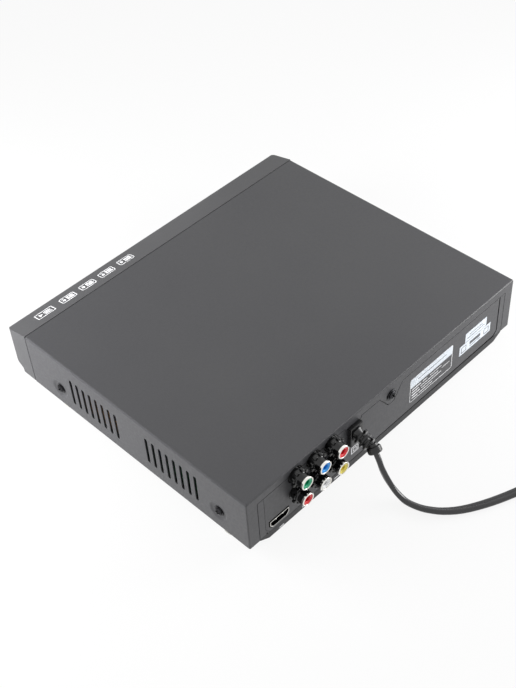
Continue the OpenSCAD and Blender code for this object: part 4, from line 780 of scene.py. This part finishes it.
def stripMarks():  # row of boxes on the sloped strip ahead of the cover, each with a plain figure in it
    marks, line = [], prints["line"]
    for k, x in enumerate(prints["boxes"]):
        wide = prints["boxWide"] if k else prints["firstWide"]
        marks.append(ink(lineBox(x, x + wide, 0.3, 6.4, line, 0.3 if k == 0 else 1.4)))
        middle = x + wide / 2
        if k == 0:
            marks.append(ink([[(middle + 4.2, 1.8), (middle + 4.2, 4.9), (middle + 1.6, 3.35)]]))
            marks += [ink([rectangle(middle - 4.4, middle + 0.6, z, z + 0.7)]) for z in (1.9, 3.1, 4.3)]
        else:  # a filled block broken by thin gaps, a small mark beside it
            left, bottom = x + 1.5, 1.55
            for row, cuts in enumerate(((0, 2.6, 5.3), (0, 3.5, 5.3))):
                shift = 0.7 * ((k + row) % 2)
                low = bottom + 1.95 * row
                for start, end in zip(cuts, cuts[1:]):
                    begins, ends = left + start + shift * (start > 0), left + end + shift * (end < 5) - 0.35
                    marks.append(ink([rectangle(begins, ends, low, low + 1.6, 0.25)]))
            marks.append(ink([circle(1.05, x + wide - 2.6, 3.35 + 0.35 * (k % 2), 20)]))
            marks.append(ink([rectangle(x + wide - 3.5, x + wide - 1.7, 1.5, 1.95)]))
    y, z = prints["stripAt"]
    onStrip = Matrix.Translation((0, y, z)) @ Matrix.Rotation(radians(prints["stripSlope"]), 4, "X") \
        @ Matrix.Translation((0, 5.1, 0))
    return moved(joined(*marks), onStrip)


def backMarks():
    marks = [ink(lineBox(26.8, 32.8, 5.7, 11.1, 0.6)), ink(lineBox(28.3, 31.3, 7.1, 9.7, 0.45))]
    for x, wide in ((75.6, 4.6), (61.2, 5.2), (46.6, 4.4)):  # plain bars under the lower jacks
        marks.append(ink([rectangle(x - wide / 2, x + wide / 2, 6.4, 7.1, 0.2)]))
    for x0, x1, z0, z1 in prints["belly"]:
        marks.append(ink([rectangle(x0, x1, z0, z1)]))
    marks.append(ink([circle(0.6, 14.2, 3.1, 16)]))
    marks.append(ink(lineBox(-55.9, -17.4, 6.5, 25.1, 0.42, 1.2)))
    for z, split, end in ((15.5, -27.5, -33), (13.2, -25.5, -43), (10.9, -26.5, -46), (8.6, -24.5, -38)):
        marks += [ink([rectangle(split, -19.2, z, z + 0.8)]), ink([rectangle(end, split - 1.2, z, z + 0.5)])]
    marks += [ink([rectangle(x0, x1, z, z + 0.42)]) for z, x0, x1 in ((15.6, -46, -35.4), (13.3, -53.4, -46.4))]
    return moved(joined(*marks), Matrix.Translation((0, shells["backY"], 0)) @ ontoBack)


def backLabels():
    bands = [rectangle(-55.6, -17.7, 17.9, 24.8, 0.9), rectangle(-88, -67.7, 17.3, 24.5, 0.3),
             rectangle(-92.4, -62.8, 9.5, 16.9, 0.3)]
    films = [stamped([band], 0.09, 0.02) for band in bands]
    drawn = [[rectangle(x0, x1, z, z + 0.5)] for x0, x1, z in (
        (-86, -69.7, 19.4), (-84, -71.7, 21.6), (-82.6, -72.4, 11.1), (-50, -24, 21.2))]
    drawn.append([rectangle(-82.6, -72.4, 12.7, 15.2, 0.3)])
    drawn += [lineBox(x, x + 4.8, 10.7, 15.4, 0.5, 0.4) for x in (-90.8, -69.2)]
    inks = [moved(stamped(outlines, 0.03), Matrix.Translation((0, 0, 0.08))) for outlines in drawn]
    labels = joined(joined(*films), inFinish(joined(*inks), 1))
    return moved(labels, Matrix.Translation((0, shells["backY"], 0)) @ ontoBack)


def keySigns():  # plain signs under the keys: play, stop, open
    figures = {45.85: [[(-0.4, -0.42), (-0.4, 0.42), (0.5, 0)]],
               59.85: [rectangle(-0.4, 0.4, -0.4, 0.4)],
               73.85: [[(-0.5, -0.1), (0.5, -0.1), (0, 0.45)], rectangle(-0.5, 0.5, -0.42, -0.25)]}
    return joined(*[moved(ink([outline]), Matrix.Translation((x, *prints["keySigns"])) @ ontoFront)
                    for x, outlines in figures.items() for outline in outlines])


makePiece("stripPrinting", stripMarks(), [screenInk])
makePiece("backPrinting", backMarks(), [screenInk])
makePiece("backLabels", backLabels(), [labelFilm, greyInk])
makePiece("keySigns", keySigns(), [screenInk])
print("printed and labelled")

# What is inside keeps its shape and gets its finish
insideFinishes = {
    "inner_screws": zincSheet, "front_board": maskedBoard, "front_board_parts": epoxyCase,
    "led_display": lampResin, "loader_frame": blackStyrene, "tray_motor": drawnCan, "motor_pulley": naturalNylon,
    "drive_belt": beltRubber, "pulley_gear": naturalNylon, "drive_gear": naturalNylon, "cam_slider": naturalNylon,
    "traverse_deck": zincSheet, "spindle_motor": drawnCan, "turntable": blackStyrene, "sled_motor": drawnCan,
    "sled_pinion": naturalNylon, "sled_gear": naturalNylon, "guide_rods": drawnCan, "pickup_body": castZinc,
    "objective_lens": coatedLens, "clamper_bridge": zincSheet, "clamper_puck": naturalNylon,
    "loader_board": maskedBoard, "main_board": maskedBoard, "main_chips": epoxyCase,
    "main_capacitors": shrinkSleeve, "power_board": paperLaminate, "transformer": coreTape,
    "power_parts": epoxyCase, "ribbon_cables": ribbonVinyl, "mains_leads": vinylLead}
for node, finish in insideFinishes.items():
    cadParts[node].data.materials.clear()
    cadParts[node].data.materials.append(finish)
print("inside finished")

studio = {"fill": 0.45, "floorGlow": 0.88, "lamps": {
    "key": {"place": (0.30, -0.26, 0.12), "aim": (0.10, -0.03, 0.02), "size": 0.3, "watts": 2.9},
    "back": {"place": (-0.35, 0.24, 0.11), "aim": (-0.09, 0.09, 0.02), "size": 0.3, "watts": 2.3},
    "top": {"place": (-0.6, -0.5, 0.9), "aim": (0, 0, 0.04), "size": 0.8, "watts": 0.5}}}


def seenDirectly(tree):  # 1 for what camera, mirror and glass see, 0 for what lights the object
    rays = addNode(tree, "LightPath").outputs
    either = addNode(tree, "Math", {"operation": "MAXIMUM"}, {0: rays["Is Camera Ray"], 1: rays["Is Glossy Ray"]})
    return addNode(tree, "Math", {"operation": "MAXIMUM"},
                   {0: either.outputs[0], 1: rays["Is Transmission Ray"]}).outputs[0]


world = bpy.data.worlds.new("whiteStudio")
scene.world = world
world.use_nodes = True
world.node_tree.nodes.clear()
level = addNode(world.node_tree, "MapRange", {"To Min": studio["fill"], "To Max": 1.0},
                {"Value": seenDirectly(world.node_tree)})
sky = addNode(world.node_tree, "Background", {"Color": (1, 1, 1, 1)}, {"Strength": level.outputs[0]})
addNode(world.node_tree, "OutputWorld", links={"Surface": sky.outputs[0]})

floorFinish = bpy.data.materials.new("whiteFloorPaint")
floorFinish.use_nodes = True
floorTree = floorFinish.node_tree
floorTree.nodes.clear()
lit = addNode(floorTree, "BsdfDiffuse", {"Color": fromHex("#f6f6f6")})
glow = addNode(floorTree, "Emission", {"Color": (1, 1, 1, 1), "Strength": 1.0})
glowShare = addNode(floorTree, "Math", {"operation": "MULTIPLY", 1: studio["floorGlow"]},
                    {0: seenDirectly(floorTree)})
floorMix = addNode(floorTree, "MixShader", {}, {0: glowShare.outputs[0], 1: lit.outputs[0], 2: glow.outputs[0]})
addNode(floorTree, "OutputMaterial", links={"Surface": floorMix.outputs[0]})
floorShape = bmesh.new()
bmesh.ops.create_grid(floorShape, x_segments=4, y_segments=4, size=4)
floorData = bpy.data.meshes.new("studioFloor")
floorShape.to_mesh(floorData)
floorData.materials.append(floorFinish)
studioFloor = bpy.data.objects.new("studioFloor", floorData)
scene.collection.objects.link(studioFloor)

for lampName, setting in studio["lamps"].items():
    lampData = bpy.data.lights.new(lampName + "Softbox", "AREA")
    lampData.shape, lampData.size, lampData.energy = "SQUARE", setting["size"], setting["watts"]
    lamp = bpy.data.objects.new(lampName + "Softbox", lampData)
    lamp.location = setting["place"]
    lamp.rotation_euler = (Vector(setting["aim"]) - Vector(setting["place"])).to_track_quat("-Z", "Y").to_euler()
    lamp.visible_camera = False
    lamp.visible_glossy = lampName != "key"  # kept out of the folds' shine
    scene.collection.objects.link(lamp)
print("studio lit")
